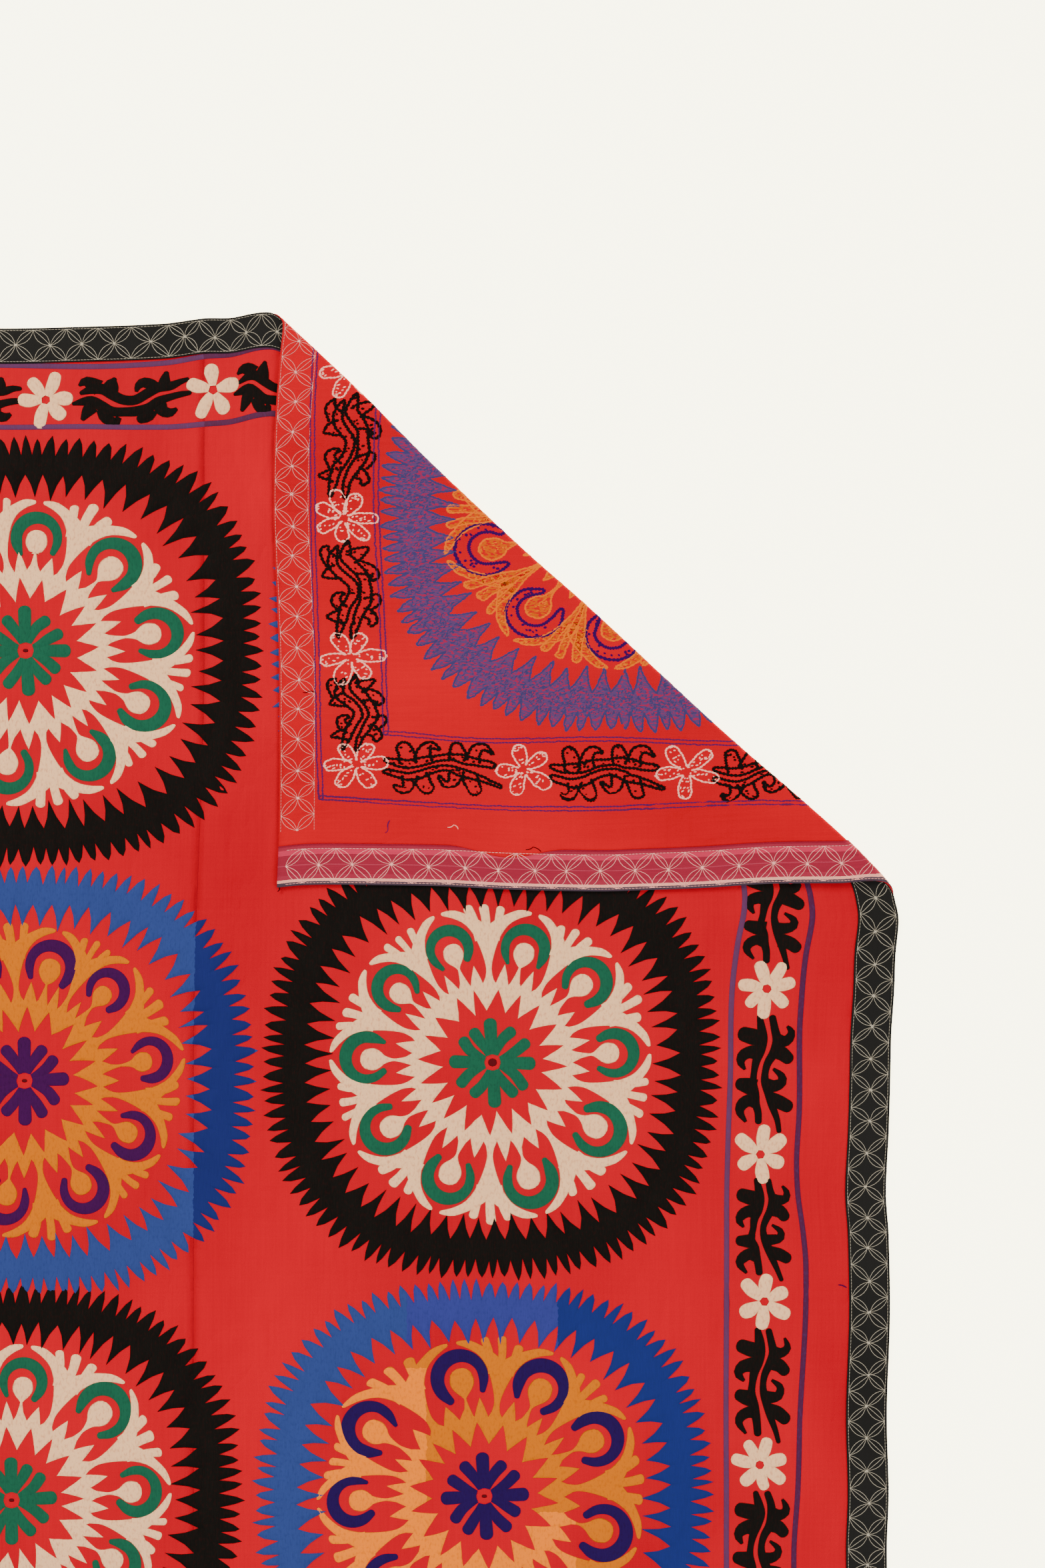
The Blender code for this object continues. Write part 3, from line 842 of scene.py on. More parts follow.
def toothedRing(key, centre, inner, outer, high=0.6, base=clothFace, outline=None):
    # inner and outer are lists of (angle in degrees, reach), alternating tips and valleys, reach in mm
    # or as a share of the outline
    marks = {}
    for name, corners in (("inner", inner), ("outer", outer)):
        angles = np.array([c[0] for c in corners])
        order = np.argsort(angles)
        angles = angles[order]
        reach = np.array([c[1] for c in corners])[order]
        marks[name] = (np.concatenate([angles - 360, angles, angles + 360]), np.tile(reach, 3), angles)
    at = []
    for name in ("inner", "outer"):
        angles = marks[name][2]
        following = np.append(angles[1:], angles[0] + 360)
        for f in (0.0, 0.5):
            at.append(angles + (following - angles) * f)
    at = np.unique(np.round(np.concatenate(at) % 360, 3))
    low = np.interp(at, marks["inner"][0], marks["inner"][1])
    top = np.interp(at, marks["outer"][0], marks["outer"][1])
    angle = np.radians(at)
    scale = np.ones(len(at))
    if outline:
        scale = (np.abs(np.cos(angle) / outline["a"]) ** outline["power"]
                 + np.abs(np.sin(angle) / outline["b"]) ** outline["power"]) ** (-1 / outline["power"])
    low, top = low * scale, top * scale
    deep = top - low
    bevel = np.minimum(1.3, deep * 0.2)
    reach = np.stack([low, low + bevel, low + deep * 0.36, low + deep * 0.68, top - bevel, top], axis=-1)
    rise = base + high * mm * np.array((-0.35, 0.85, 1.0, 1.0, 0.85, -0.35))
    s = centre[0] + reach * mm * np.cos(angle)[:, None]
    t = centre[1] + reach * mm * np.sin(angle)[:, None]
    addStrip(key, np.stack([s, t, np.broadcast_to(rise, s.shape)], axis=-1), closed=True)
    reverseShape(key, s, t, True)


def teeth(count, tip, valley, wobble, leanShare, offset=0.0, swell=0.60):
    # angle and reach of each tip and valley around a ring, no two teeth alike
    pitch = 360.0 / count
    corners = []
    angles = offset + pitch * (np.arange(count) + chance.uniform(-0.16, 0.16, count))
    for i in range(count):
        following = angles[(i + 1) % count] + (360.0 if i == count - 1 else 0.0)
        middle = (angles[i] + following) / 2 + pitch * leanShare * chance.uniform(-0.5, 1.0)
        high = tip + wobble * chance.uniform(-1, 1)
        low = valley + wobble * 0.5 * chance.uniform(-1, 1)
        # the sides of a tooth swell a little, or are hollow where the teeth between them swell
        corners.append((angles[i], high))
        corners.append(((angles[i] * 0.52 + middle * 0.48), high * swell + low * (1 - swell)))
        corners.append((middle, low))
        corners.append(((following * 0.52 + middle * 0.48), tip * swell + low * (1 - swell)))
    return corners


# Medallions

medallion = {
    "a": 256.5,
    "aMiddle": 264.0,
    "b": 243.75,
    "power": 2.6,
    "outerTip": 1.0,
    "outerValley": 0.912,
    "innerValley": 0.817,
    "innerTip": 0.702,
    "ringInnerTip": 57.0,
    "ringInnerValley": 82.5,
    "ringOuterValley": 90.5,
    # share of the way from one crescent to the next, reach
    "ringTips": ((0.0, 103.0), (0.25, 111.0), (0.5, 103.0), (0.75, 111.0)),
    # the palmettes are measured where crescents are this far apart and this far out
    "halfPitch": 18.0,
    "armAngle": 17.37,
    "crescentReach": 138.0,
    "armFoot": 105.0,
    "armLength": 50.0,
    "crescentRadius": 27.0,
    "stemEnd": 112.0,
}
crescent = {
    "swell": 1.04,
    "inner": 0.56,
    "opening": 40.0,
    "tilt": 12.0,
    "thinShare": 0.74,
    "thickShare": 0.36,
    "uneven": 0.12,
    "blunt": (0.45, 0.85),
}
centreFlower = {
    # reach and half widths of a middle finger and of the fingers on either side
    "middle": 51.0,
    "middleHalves": (5.4, 6.3, 7.2, 7.5),
    "middleCap": 7.4,
    "side": 48.0,
    "sideHalves": (2.7, 4.9, 6.2, 6.6),
    "sideCap": 6.3,
    "spread": 30.0,
}

# Half of a palmette: its two edges, right of its axis and out from the middle of the medallion, in mm
halfPalmette = (
    # lower right, lower out, upper right, upper out
    (5.2, 91.0, -1.5, 91.0),
    (3.8, 98.0, -1.5, 98.0),
    (3.0, 105.0, -1.5, 105.0),
    (4.2, 113.5, -2.0, 113.5),
    (7.2, 124.5, -3.0, 126.5),
    (11.6, 136.5, -4.0, 140.0),
    (16.8, 147.0, -3.0, 151.0),
    (25.0, 157.2, 12.0, 163.0),
    (35.4, 163.4, 25.0, 169.4),
    (44.0, 166.4, 36.0, 173.4),
    (49.2, 167.8, 45.8, 173.0),
    (50.9, 169.6, 50.7, 171.4),
)
# Its fingers
fingers = (
    # base right, base out, tip right, tip out, half width
    (-9.5, 144.0, -19.5, 177.5, 4.8),
    (-1.0, 144.0, -2.0, 181.5, 5.1),
    (9.0, 144.0, 16.5, 177.5, 4.9),
)
# A teardrop on its stem
teardrop = (
    # out, half width
    (88.0, 6.5),
    (97.0, 4.0),
    (105.0, 2.2),
    (112.0, 1.5),
    (117.0, 4.4),
    (121.5, 8.4),
    (126.0, 11.0),
    (130.0, 11.8),
    (134.0, 11.2),
)

# Crescents of the medallions that show in the photo, with the place of each
crescentsR1 = (
    # angle, reach mm, outer radius mm
    (76.0, 148.0, 30.0), (39.5, 146.5, 29.5), (4.3, 141.3, 29.0), (-32.0, 139.0, 28.5),
    (-68.0, 138.0, 28.0), (-104.0, 138.0, 28.0), (-140.0, 137.0, 28.0), (-176.0, 138.0, 28.0),
    (-212.0, 140.0, 28.5), (-248.0, 143.0, 29.0),
)
crescentsM1 = (
    # angle, reach mm, outer radius mm
    (84.6, 128.0, 28.0), (44.7, 137.0, 30.0), (7.8, 145.0, 28.0), (-25.7, 144.5, 28.5),
    (-58.8, 137.6, 28.5), (-98.7, 134.0, 28.5), (-134.0, 137.0, 28.0), (-169.4, 139.0, 28.5),
    (-204.7, 138.0, 28.0), (-240.0, 136.0, 28.5),
)
crescentsM2 = (
    # angle, reach mm, outer radius mm
    (76.8, 132.8, 28.5), (46.9, 139.0, 24.8), (9.1, 148.2, 25.5), (-26.6, 138.5, 27.3),
    (-60.7, 139.5, 27.5), (-99.7, 136.2, 27.3), (-136.4, 138.0, 27.0), (-173.1, 139.0, 27.5),
    (-209.8, 138.0, 27.0), (-246.5, 136.0, 28.0),
)
crescentsM3 = (
    # angle, reach mm, outer radius mm
    (84.3, 134.3, 26.3), (44.0, 145.5, 31.5), (3.8, 145.2, 28.2), (-30.8, 140.0, 28.0),
    (-65.8, 138.0, 28.0), (-100.8, 137.0, 27.5), (-135.8, 138.0, 28.0), (-170.8, 139.0, 28.0),
    (-205.8, 138.0, 27.5), (-240.8, 137.0, 28.0),
)
crescentsR2 = (
    # angle, reach mm, outer radius mm
    (4.5, 138.0, 27.0), (40.2, 139.5, 28.0), (73.8, 133.5, 27.0), (110.6, 136.9, 26.0),
    (142.6, 137.3, 26.5), (177.7, 143.0, 28.5), (212.0, 141.8, 28.5), (249.0, 139.5, 29.0),
    (287.9, 140.3, 30.5), (328.1, 141.8, 30.5),
)
crescentsR3 = (
    # angle, reach mm, outer radius mm
    (-17.1, 141.0, 31.5), (27.2, 141.5, 30.5), (62.6, 138.5, 31.0), (101.9, 135.8, 31.5),
    (149.8, 149.5, 31.0), (182.5, 148.2, 28.0), (222.4, 143.0, 31.0), (262.6, 140.0, 31.0),
    (302.7, 140.0, 31.5),
)


def evenCrescents(count):
    pitch = 360.0 / count
    return tuple((pitch * i + chance.uniform(-2.5, 2.5), 138.0 + chance.uniform(-3, 3),
                  27.8 + chance.uniform(-1.2, 1.2)) for i in range(count))


warm = ("blue", "orange", "purple")
plain = ("black", "cream", "green")
medallions = (
    # s, t, ring colour, flower ring colour, flower colour, outer teeth, inner teeth, crescents
    (0.5300, 0.7220, *warm, 106, 60, crescentsR1),
    (0.0012, 0.7069, *plain, 100, 58, crescentsM1),
    (0.0000, 0.2231, *warm, 104, 60, crescentsM2),
    (0.5265, 0.2437, *plain, 108, 61, crescentsR2),
    (-0.0145, -0.2486, *plain, 104, 60, crescentsM3),
    (0.5173, -0.2441, *warm, 106, 56, crescentsR3),
    (0.0040, -0.7240, *warm, 104, 58, evenCrescents(10)),
    (0.5250, -0.7245, *plain, 106, 60, evenCrescents(10)),
    (-0.5290, 0.7120, *warm, 104, 58, evenCrescents(10)),
    (-0.5240, 0.2380, *plain, 106, 60, evenCrescents(10)),
    (-0.5270, -0.2430, *warm, 104, 58, evenCrescents(9)),
    (-0.5220, -0.7235, *plain, 106, 60, evenCrescents(10)),
)


def polarPlace(centre, middle, left, right, reachLeft, reachRight):
    # the palmette's own frame: angles are stretched to the crescents on either side
    def place(x, y):
        bearing = np.degrees(np.arctan2(x, y))
        reach = np.hypot(x, y)
        wide = np.where(bearing < 0, left, right) / medallion["halfPitch"]
        share = np.abs(bearing) / medallion["armAngle"]
        shift = np.where(bearing < 0, reachLeft, reachRight) - medallion["crescentReach"]
        outward = np.clip((reach - medallion["armFoot"]) / medallion["armLength"], 0, 1)
        reach = reach + shift * np.clip(share, 0, 1) * outward
        angle = np.radians(middle - bearing * wide)
        return centre[0] + reach * mm * np.cos(angle), centre[1] + reach * mm * np.sin(angle)
    return place


def turnedPlace(centre, degrees, reach=0.0):
    # a frame whose y axis points outward at the given angle
    c, s = math.cos(math.radians(degrees)), math.sin(math.radians(degrees))

    def place(x, y):
        y = y + reach
        return centre[0] + (y * c + x * s) * mm, centre[1] + (y * s - x * c) * mm
    return place


def drawFlower(key, centre, turn):
    # four groups of three fingers, joined at the foot and parted by a cross of bare cloth
    for quarter in range(4):
        place = turnedPlace(centre, 90.0 * quarter + turn + chance.uniform(-3, 3))
        reach = centreFlower["middle"] + chance.uniform(-2, 2) - centreFlower["middleCap"]
        ribbon(key, ((0, 9), (0, 20), (0, 32), (0, reach)), centreFlower["middleHalves"], place,
               caps=("", "round"))
        for hand in (-1, 1):
            spread = math.radians(centreFlower["spread"] + chance.uniform(-3, 6))
            reach = centreFlower["side"] + chance.uniform(-2.5, 1.5) - centreFlower["sideCap"]
            tip = (hand * (reach * math.sin(spread)), reach * math.cos(spread))
            ribbon(key, ((hand * 4.2, 8.0), (hand * 7.0, 16.0), (hand * 13.0, 25.5), tip),
                   centreFlower["sideHalves"], place, caps=("", "round"))


def drawCrescent(key, centre, angle, reach, radius):
    # thick away from the middle of the medallion, open towards it, with one blunt end
    radius = radius * crescent["swell"]
    inner = radius * crescent["inner"]
    place = turnedPlace(centre, angle, reach)
    opening = crescent["opening"] + chance.uniform(-5, 5)
    tilt = chance.uniform(-crescent["tilt"], crescent["tilt"])
    around = np.linspace(-180 + opening, 180 - opening, 11)
    swelling = np.cos(np.radians(around) / 2) ** 2
    thick = (radius - inner) * (crescent["thinShare"] + crescent["thickShare"] * swelling)
    thick = thick * (1 + crescent["uneven"] * np.sin(np.radians(around)) * chance.choice((-1, 1)))
    thick[0] *= chance.uniform(*crescent["blunt"])
    thick[-1] *= chance.uniform(*crescent["blunt"])
    middle = radius - thick / 2
    turned = np.radians(around + tilt)
    path = np.stack([middle * np.sin(turned), middle * np.cos(turned)], axis=-1)
    ribbon(key, path, thick / 2, place, spacing=3.6)


def drawMedallion(s, t, ringKey, bloomKey, flowerKey, outerCount, innerCount, crescents):
    centre = flatPlace(np.array(s), np.array(t))
    # the middle column is drawn a little wider
    wide = medallion["aMiddle" if abs(s) < 0.1 else "a"]
    outline = {"a": wide, "b": medallion["b"], "power": medallion["power"]}
    toothedRing(ringKey, centre,
                teeth(innerCount, medallion["innerTip"], medallion["innerValley"], 0.016, 0.16, swell=0.42),
                teeth(outerCount, medallion["outerTip"], medallion["outerValley"], 0.012, 0.16, swell=0.68),
                outline=outline)
    order = sorted(crescents)
    angles = [c[0] for c in order]
    outerTeeth = []
    for i, (angle, reach, radius) in enumerate(order):
        following = order[(i + 1) % len(order)]
        gapAngle = (following[0] - angle) % 360
        middle = angle + gapAngle / 2
        place = polarPlace(centre, middle, gapAngle / 2, gapAngle / 2, following[1], reach)
        for hand in (-1, 1):
            rows = np.array(halfPalmette)
            edgeBand(bloomKey, rows[:, :2] * (hand, 1), rows[:, 2:] * (hand, 1), place)
        shift = chance.uniform(-2, 2)
        for x1, y1, x2, y2, half in fingers:
            length = chance.uniform(-3.0, 2.5)
            half = half * chance.uniform(0.88, 1.12)
            middlePoint = (x1 * 0.5 + x2 * 0.5, (y1 + y2) / 2)
            ribbon(bloomKey, ((x1, y1 - 6), middlePoint, (x2 + shift, y2 + length - half)),
                   (half * 0.85, half * 0.9, half), place, caps=("", "round"))
        drawCrescent(flowerKey, centre, angle, reach, radius)
        rows = np.array(teardrop)
        shiftReach = reach - medallion["crescentReach"]
        size = radius / medallion["crescentRadius"]
        stemEnd = medallion["stemEnd"]
        drop = rows[:, 0] > stemEnd
        out = np.where(drop, stemEnd + (rows[:, 0] - stemEnd) * size + shiftReach * 0.8, rows[:, 0])
        half = np.where(drop, rows[:, 1] * size, rows[:, 1])
        leaning = turnedPlace(centre, angle + chance.uniform(-0.8, 0.8))
        ribbon(bloomKey, np.stack([out * 0, out], axis=-1), half, leaning, caps=("", "round"), spacing=3.0)
        valley = medallion["ringOuterValley"]
        for share, tip in medallion["ringTips"]:
            wobble = chance.uniform(-2.5, 2.5)
            outerTeeth.append((angle + gapAngle * (share + chance.uniform(-0.02, 0.02)), tip + wobble))
            outerTeeth.append((angle + gapAngle * (share + 0.125), valley + chance.uniform(-1.5, 1.5)))
    innerTeeth = teeth(2 * len(order), medallion["ringInnerTip"], medallion["ringInnerValley"], 3.0, 0.1,
                       angles[0])
    toothedRing(bloomKey, centre, innerTeeth, [(a % 360, r) for a, r in outerTeeth])
    drawFlower(flowerKey, centre, chance.uniform(-3, 3))
    # one medallion has a large dot in its middle
    dot = 4.6 if crescents is crescentsR2 else 1.9
    ribbon("darkRed", ((-1.5, 0.0), (0.0, 0.0), (1.5, 0.0)), (dot * 0.9, dot, dot * 0.9),
           turnedPlace(centre, 90.0), high=0.4)


for row in medallions:
    drawMedallion(*row)
print("medallions drawn")


# Borders: flowers, vines and chain-stitched lines

sideVine = (
    # part, along, across, half width, in mm from one flower towards the next
    ("leftStem", 32.5, -4.6, 2.2), ("leftStem", 45.5, -1.8, 3.6), ("leftStem", 57.0, -0.6, 4.0),
    ("leftStem", 70.0, -3.5, 4.2), ("leftStem", 81.3, -7.5, 3.4), ("leftStem", 94.3, -10.0, 2.6),
    ("leftStem", 105.7, -11.2, 3.0), ("leftStem", 118.7, -9.0, 4.0), ("leftStem", 130.0, -6.5, 3.4),
    ("leftStem", 139.9, -4.5, 3.0), ("leftStem", 150.4, -3.7, 2.8),
    ("rightStem", 33.3, 7.1, 2.6), ("rightStem", 45.5, 10.6, 3.0), ("rightStem", 57.7, 12.8, 3.6),
    ("rightStem", 71.6, 9.6, 3.6), ("rightStem", 82.9, 3.6, 3.0), ("rightStem", 94.3, 0.5, 2.6),
    ("rightStem", 104.9, 1.0, 3.2), ("rightStem", 117.9, 5.2, 3.6), ("rightStem", 131.7, 9.3, 3.0),
    ("rightStem", 147.2, 15.0, 2.2), ("rightStem", 159.7, 19.2, 1.8),
    ("lobeA", 57.0, -2.4, 5.0), ("lobeA", 54.5, -11.4, 6.3), ("lobeA", 51.2, -22.1, 5.6),
    ("hookB.", 72.4, -5.8, 6.5), ("hookB.", 72.4, -15.5, 5.2), ("hookB.", 76.4, -22.7, 4.6),
    ("hookB.", 82.9, -25.2, 3.2), ("hookB.", 91.4, -20.9, 0.8),
    ("lobeC", 111.4, -9.0, 5.5), ("lobeC", 109.8, -17.2, 6.0), ("lobeC", 108.1, -26.0, 4.6),
    ("hookD.", 126.0, -7.5, 5.5), ("hookD.", 127.2, -16.4, 4.6), ("hookD.", 131.7, -24.0, 4.2),
    ("hookD.", 139.0, -26.5, 3.0), ("hookD.", 150.1, -18.3, 0.8),
    ("hookE.", 58.5, 13.0, 5.0), ("hookE.", 58.5, 22.9, 4.2), ("hookE.", 54.5, 29.2, 3.4),
    ("hookE.", 48.0, 29.4, 2.4), ("hookE.", 41.5, 25.0, 0.7),
    ("lobeF", 69.0, 12.0, 5.2), ("lobeF", 73.2, 21.0, 5.6), ("lobeF", 78.4, 26.7, 4.8),
    ("hookG.", 109.0, 3.5, 4.5), ("hookG.", 109.0, 12.9, 4.6), ("hookG.", 104.9, 20.0, 3.8),
    ("hookG.", 97.6, 21.3, 2.8), ("hookG.", 89.8, 11.6, 0.8),
    ("lobeH", 125.0, 7.8, 5.0), ("lobeH", 127.7, 18.6, 5.6), ("lobeH", 132.5, 26.9, 5.0),
)
topVine = (
    # part, along, across, half width, in mm from one flower towards the next
    ("upperStem", 39.6, 7.2, 1.6), ("upperStem", 52.6, 11.4, 3.6), ("upperStem", 64.7, 10.7, 4.2),
    ("upperStem", 76.7, 3.0, 4.0), ("upperStem", 88.8, -4.7, 3.8), ("upperStem", 100.9, -5.0, 3.8),
    ("upperStem", 112.9, 0.0, 3.8), ("upperStem", 125.0, 6.2, 4.0), ("upperStem", 139.0, 8.4, 3.4),
    ("upperStem", 149.0, 11.5, 2.4), ("upperStem", 158.1, 12.3, 1.5), ("hookA", 60.7, 13.0, 5.5),
    ("hookA", 50.6, 19.6, 5.0), ("hookA", 43.6, 20.4, 3.6), ("hookA", 39.0, 17.2, 1.2),
    ("leafB", 72.7, 8.0, 5.5), ("leafB", 75.1, 16.1, 5.5), ("leafB", 77.8, 22.0, 1.8),
    ("hookC.", 123.0, 6.5, 4.0), ("hookC.", 116.9, 12.7, 4.2), ("hookC.", 108.9, 14.6, 3.8),
    ("hookC.", 103.3, 10.5, 2.6), ("hookC.", 102.5, 4.9, 0.8), ("leafD", 132.0, 8.8, 4.6),
    ("leafD", 133.4, 16.8, 4.2), ("leafD", 134.0, 22.4, 2.0), ("lowerStem", 31.5, -3.8, 1.4),
    ("lowerStem", 42.6, -1.7, 3.6), ("lowerStem", 52.6, -0.6, 4.6), ("lowerStem", 62.7, -6.2, 4.6),
    ("lowerStem", 74.7, -14.0, 4.2), ("lowerStem", 88.8, -16.4, 4.0), ("lowerStem", 102.9, -16.6, 4.4),
    ("lowerStem", 114.9, -13.3, 4.2), ("lowerStem", 125.0, -7.8, 3.8), ("lowerStem", 139.0, -3.6, 3.0),
    ("lowerStem", 151.0, -1.3, 2.6), ("lowerStem", 160.0, -0.8, 1.8), ("leafE", 53.0, -6.0, 5.0),
    ("leafE", 47.6, -14.4, 5.0), ("leafE", 41.6, -22.1, 2.0), ("hookF.", 65.7, -11.5, 5.2),
    ("hookF.", 68.7, -21.7, 5.0), ("hookF.", 75.7, -27.5, 3.6), ("hookF.", 82.4, -26.5, 2.6),
    ("hookF.", 78.7, -21.8, 0.8), ("lobeG", 117.0, -16.5, 5.5), ("lobeG", 111.9, -23.2, 5.6),
    ("lobeG", 106.9, -26.4, 3.8), ("hookH.", 126.0, -12.0, 4.6), ("hookH.", 131.0, -19.2, 4.4),
    ("hookH.", 139.0, -21.7, 3.4), ("hookH.", 146.0, -17.1, 1.0),
)
vine = {
    "length": 187.0,
    "sway": 2.0,
    "swayPitch": 28.0,
    "wobble": 0.5,
}
borderFlower = {
    "reach": 31.5,
    "foot": 4.6,
    "half": 7.9,
    "halfOfSeven": 7.2,
    "rise": 0.7,
}


def drawVine(table, start, finish, flip):
    # the vine's frame runs from one flower's middle to the next; a name that ends in a point ends in one too
    start, finish = np.array(start), np.array(finish)
    run = finish - start
    length = float(np.hypot(*run))
    ahead = run / length
    aside = np.array((-ahead[1], ahead[0])) * flip
    stretch = length / mm / vine["length"]

    def place(x, y):
        return (start[0] + (ahead[0] * y + aside[0] * x) * mm, start[1] + (ahead[1] * y + aside[1] * x) * mm)

    sway = chance.uniform(-vine["sway"], vine["sway"])
    for part in dict.fromkeys(row[0] for row in table):
        rows = np.array([row[1:] for row in table if row[0] == part])
        along = rows[:, 0] * stretch + chance.normal(0, vine["wobble"], len(rows))
        across = rows[:, 1] + sway * np.sin(rows[:, 0] / vine["swayPitch"])
        across = across + chance.normal(0, vine["wobble"], len(rows))
        stem = part.endswith("Stem")
        grow = rows[:, 2] * (0.35 if stem else 0.30) + (0.3 if stem else 0.6)
        if stem:
            across = across + grow * 0.6 * (-1 if part in ("leftStem", "lowerStem") else 1)
        else:
            # leaves widen at the foot, where they join the stem
            grow[0] += 1.2 if part.endswith(".") else 1.6
        shrink = min(1.0, 0.5 + 0.5 * stretch) * chance.uniform(0.92, 1.08)
        ribbon("black", np.stack([across, along], axis=-1), (rows[:, 2] + grow) * shrink, place,
               caps=("round", "round") if stem else ("", "" if part.endswith(".") else "round"), spacing=4.0)


def drawBorderFlower(s, t, petals, turn):
    for i in range(petals):
        place = turnedPlace((s, t), turn + 360.0 * i / petals + chance.uniform(-7, 7))
        out = borderFlower["reach"] + chance.uniform(-3.0, 3.0)
        half = borderFlower["half" if petals < 7 else "halfOfSeven"] + chance.uniform(-0.8, 0.8)
        tip = (chance.uniform(-1.5, 1.5), out - half * 0.72)
        ribbon("cream", ((0, borderFlower["foot"]), (0, 11), (0, 19), tip), (3.6, 6.0, half, half * 0.94),
               place, caps=("", "round"), high=borderFlower["rise"])


# Flowers down the right border and along the top border, those in the fold guessed from their spacing
sideFlowers = (
    # s, t, petals, turn
    (0.8268, 0.9945, 6, 30), (0.8309, 0.8272, 5, 20), (0.8338, 0.6564, 5, 8), (0.8430, 0.4915, 6, 12),
    (0.8328, 0.3266, 7, 59), (0.8289, 0.1403, 6, 90), (0.8322, -0.0251, 6, 84), (0.8279, -0.2089, 7, 70),
    (0.8300, -0.3890, 6, 40), (0.8310, -0.5650, 5, 85), (0.8290, -0.7420, 6, 75),
)
topFlowers = (
    # s, t, petals, turn
    (0.6966, 0.9996, 6, 90), (0.5292, 1.0003, 7, 60), (0.3548, 0.9982, 6, 80), (0.2063, 0.9948, 5, 92),
    (0.0239, 0.9936, 6, 68), (-0.1560, 0.9950, 6, 84), (-0.3350, 0.9940, 7, 65), (-0.5100, 0.9960, 6, 50),
    (-0.6800, 0.9930, 5, 100),
)
leftFlowers = tuple((-s + 0.002, t * 0.995, petals, 180 - turn) for s, t, petals, turn in sideFlowers)
leftFlowers = leftFlowers + ((-0.8270, -0.9080, 6, 20),)
bottomFlowers = tuple((s, -t - 0.006, petals, -turn) for s, t, petals, turn in topFlowers)

cornerRight = (0.8280, -0.9990, 6, 55)
aboveCorner = (0.8290, -0.9080, 5, 12)
cornerLeft = (-0.8270, -0.9990, 6, 40)

for row in sideFlowers + topFlowers + leftFlowers + bottomFlowers + (cornerRight, aboveCorner):
    drawBorderFlower(*row)
vineRows = (
    # vine, flowers that it joins, which way it faces
    (sideVine, sideFlowers, 1),
    (sideVine, leftFlowers, -1),
    (topVine, topFlowers[::-1], 1),
    (topVine, bottomFlowers[::-1], -1),
    (topVine, (topFlowers[0], sideFlowers[0]), 1),
    (topVine, (leftFlowers[0], topFlowers[-1]), 1),
    (sideVine, (sideFlowers[-1], aboveCorner), 1),
    (topVine, (bottomFlowers[0], cornerRight), -1),
    (topVine, (cornerLeft, bottomFlowers[-1]), -1),
)
for table, flowers, flip in vineRows:
    for a, b in zip(flowers, flowers[1:]):
        drawVine(table, a[:2], b[:2], flip)
drawBorderFlower(*cornerLeft)

# Chain-stitched lines on either side of the borders
outerRight = (
    # t, s
    (-1.0340, 0.8700), (-0.7000, 0.8725), (-0.3251, 0.8676), (-0.1586, 0.8747), (0.0139, 0.8789),
    (0.0626, 0.8759), (0.1339, 0.8705), (0.1916, 0.8715), (0.3206, 0.8706), (0.4354, 0.8795),
    (0.6408, 0.8736), (0.7404, 0.8751), (0.9043, 0.8759), (1.0307, 0.8679),
)
innerRight = (
    # t, s
    (-0.9715, 0.7900), (-0.6500, 0.7930), (-0.3251, 0.7901), (0.0334, 0.7898), (0.1481, 0.7915),
    (0.2344, 0.7941), (0.3206, 0.7950), (0.3776, 0.8010), (0.4354, 0.8095), (0.6410, 0.8001),
    (0.7405, 0.7947), (0.8730, 0.7962), (0.9656, 0.7877),
)
outerTop = (
    # s, t
    (-0.8700, 1.0320), (-0.5000, 1.0350), (-0.2500, 1.0315), (-0.0278, 1.0339), (0.0766, 1.0300),
    (0.1516, 1.0307), (0.2033, 1.0326), (0.2832, 1.0366), (0.3464, 1.0378), (0.4973, 1.0328),
    (0.6479, 1.0348), (0.7993, 1.0335), (0.8679, 1.0307),
)
innerTop = (
    # s, t
    (-0.7920, 0.9660), (-0.5000, 0.9690), (-0.2500, 0.9640), (-0.0278, 0.9623), (0.0641, 0.9616),
    (0.1269, 0.9594), (0.1980, 0.9582), (0.2808, 0.9653), (0.4033, 0.9699), (0.4974, 0.9691),
    (0.6104, 0.9681), (0.7233, 0.9672), (0.7877, 0.9656),
)


def drawLine(table, swap, flip):
    rows = np.array(table)
    rows = rows[:, ::-1] if swap else rows
    path = rows * np.array(flip) / mm
    ribbon("line", path, np.full(len(path), 3.0), lambda x, y: (x * mm, y * mm), high=0.6, spacing=3.5)


for sideFlip, endFlip in (((1, 1), (1, 1)), ((-1, 1), (1, -1))):
    drawLine(outerRight, True, sideFlip)
    drawLine(innerRight, True, sideFlip)
    drawLine(outerTop, False, endFlip)
    # the bottom border is 6 mm wider
    wider = 0.006 if endFlip[1] < 0 else 0.0
    drawLine(tuple((s, t + wider) for s, t in innerTop), False, endFlip)

# The seams: the sewing thread lies a little below the face
for hand in (-1, 1):
    ribbon("seam", ((hand * 196.0, -1074.0), (hand * 196.0, 0.0), (hand * 196.0, 1074.0)), (0.45, 0.45, 0.45),
           lambda x, y: (x * mm, y * mm), high=0.3, spacing=6.0, base=clothFace - 0.00025)

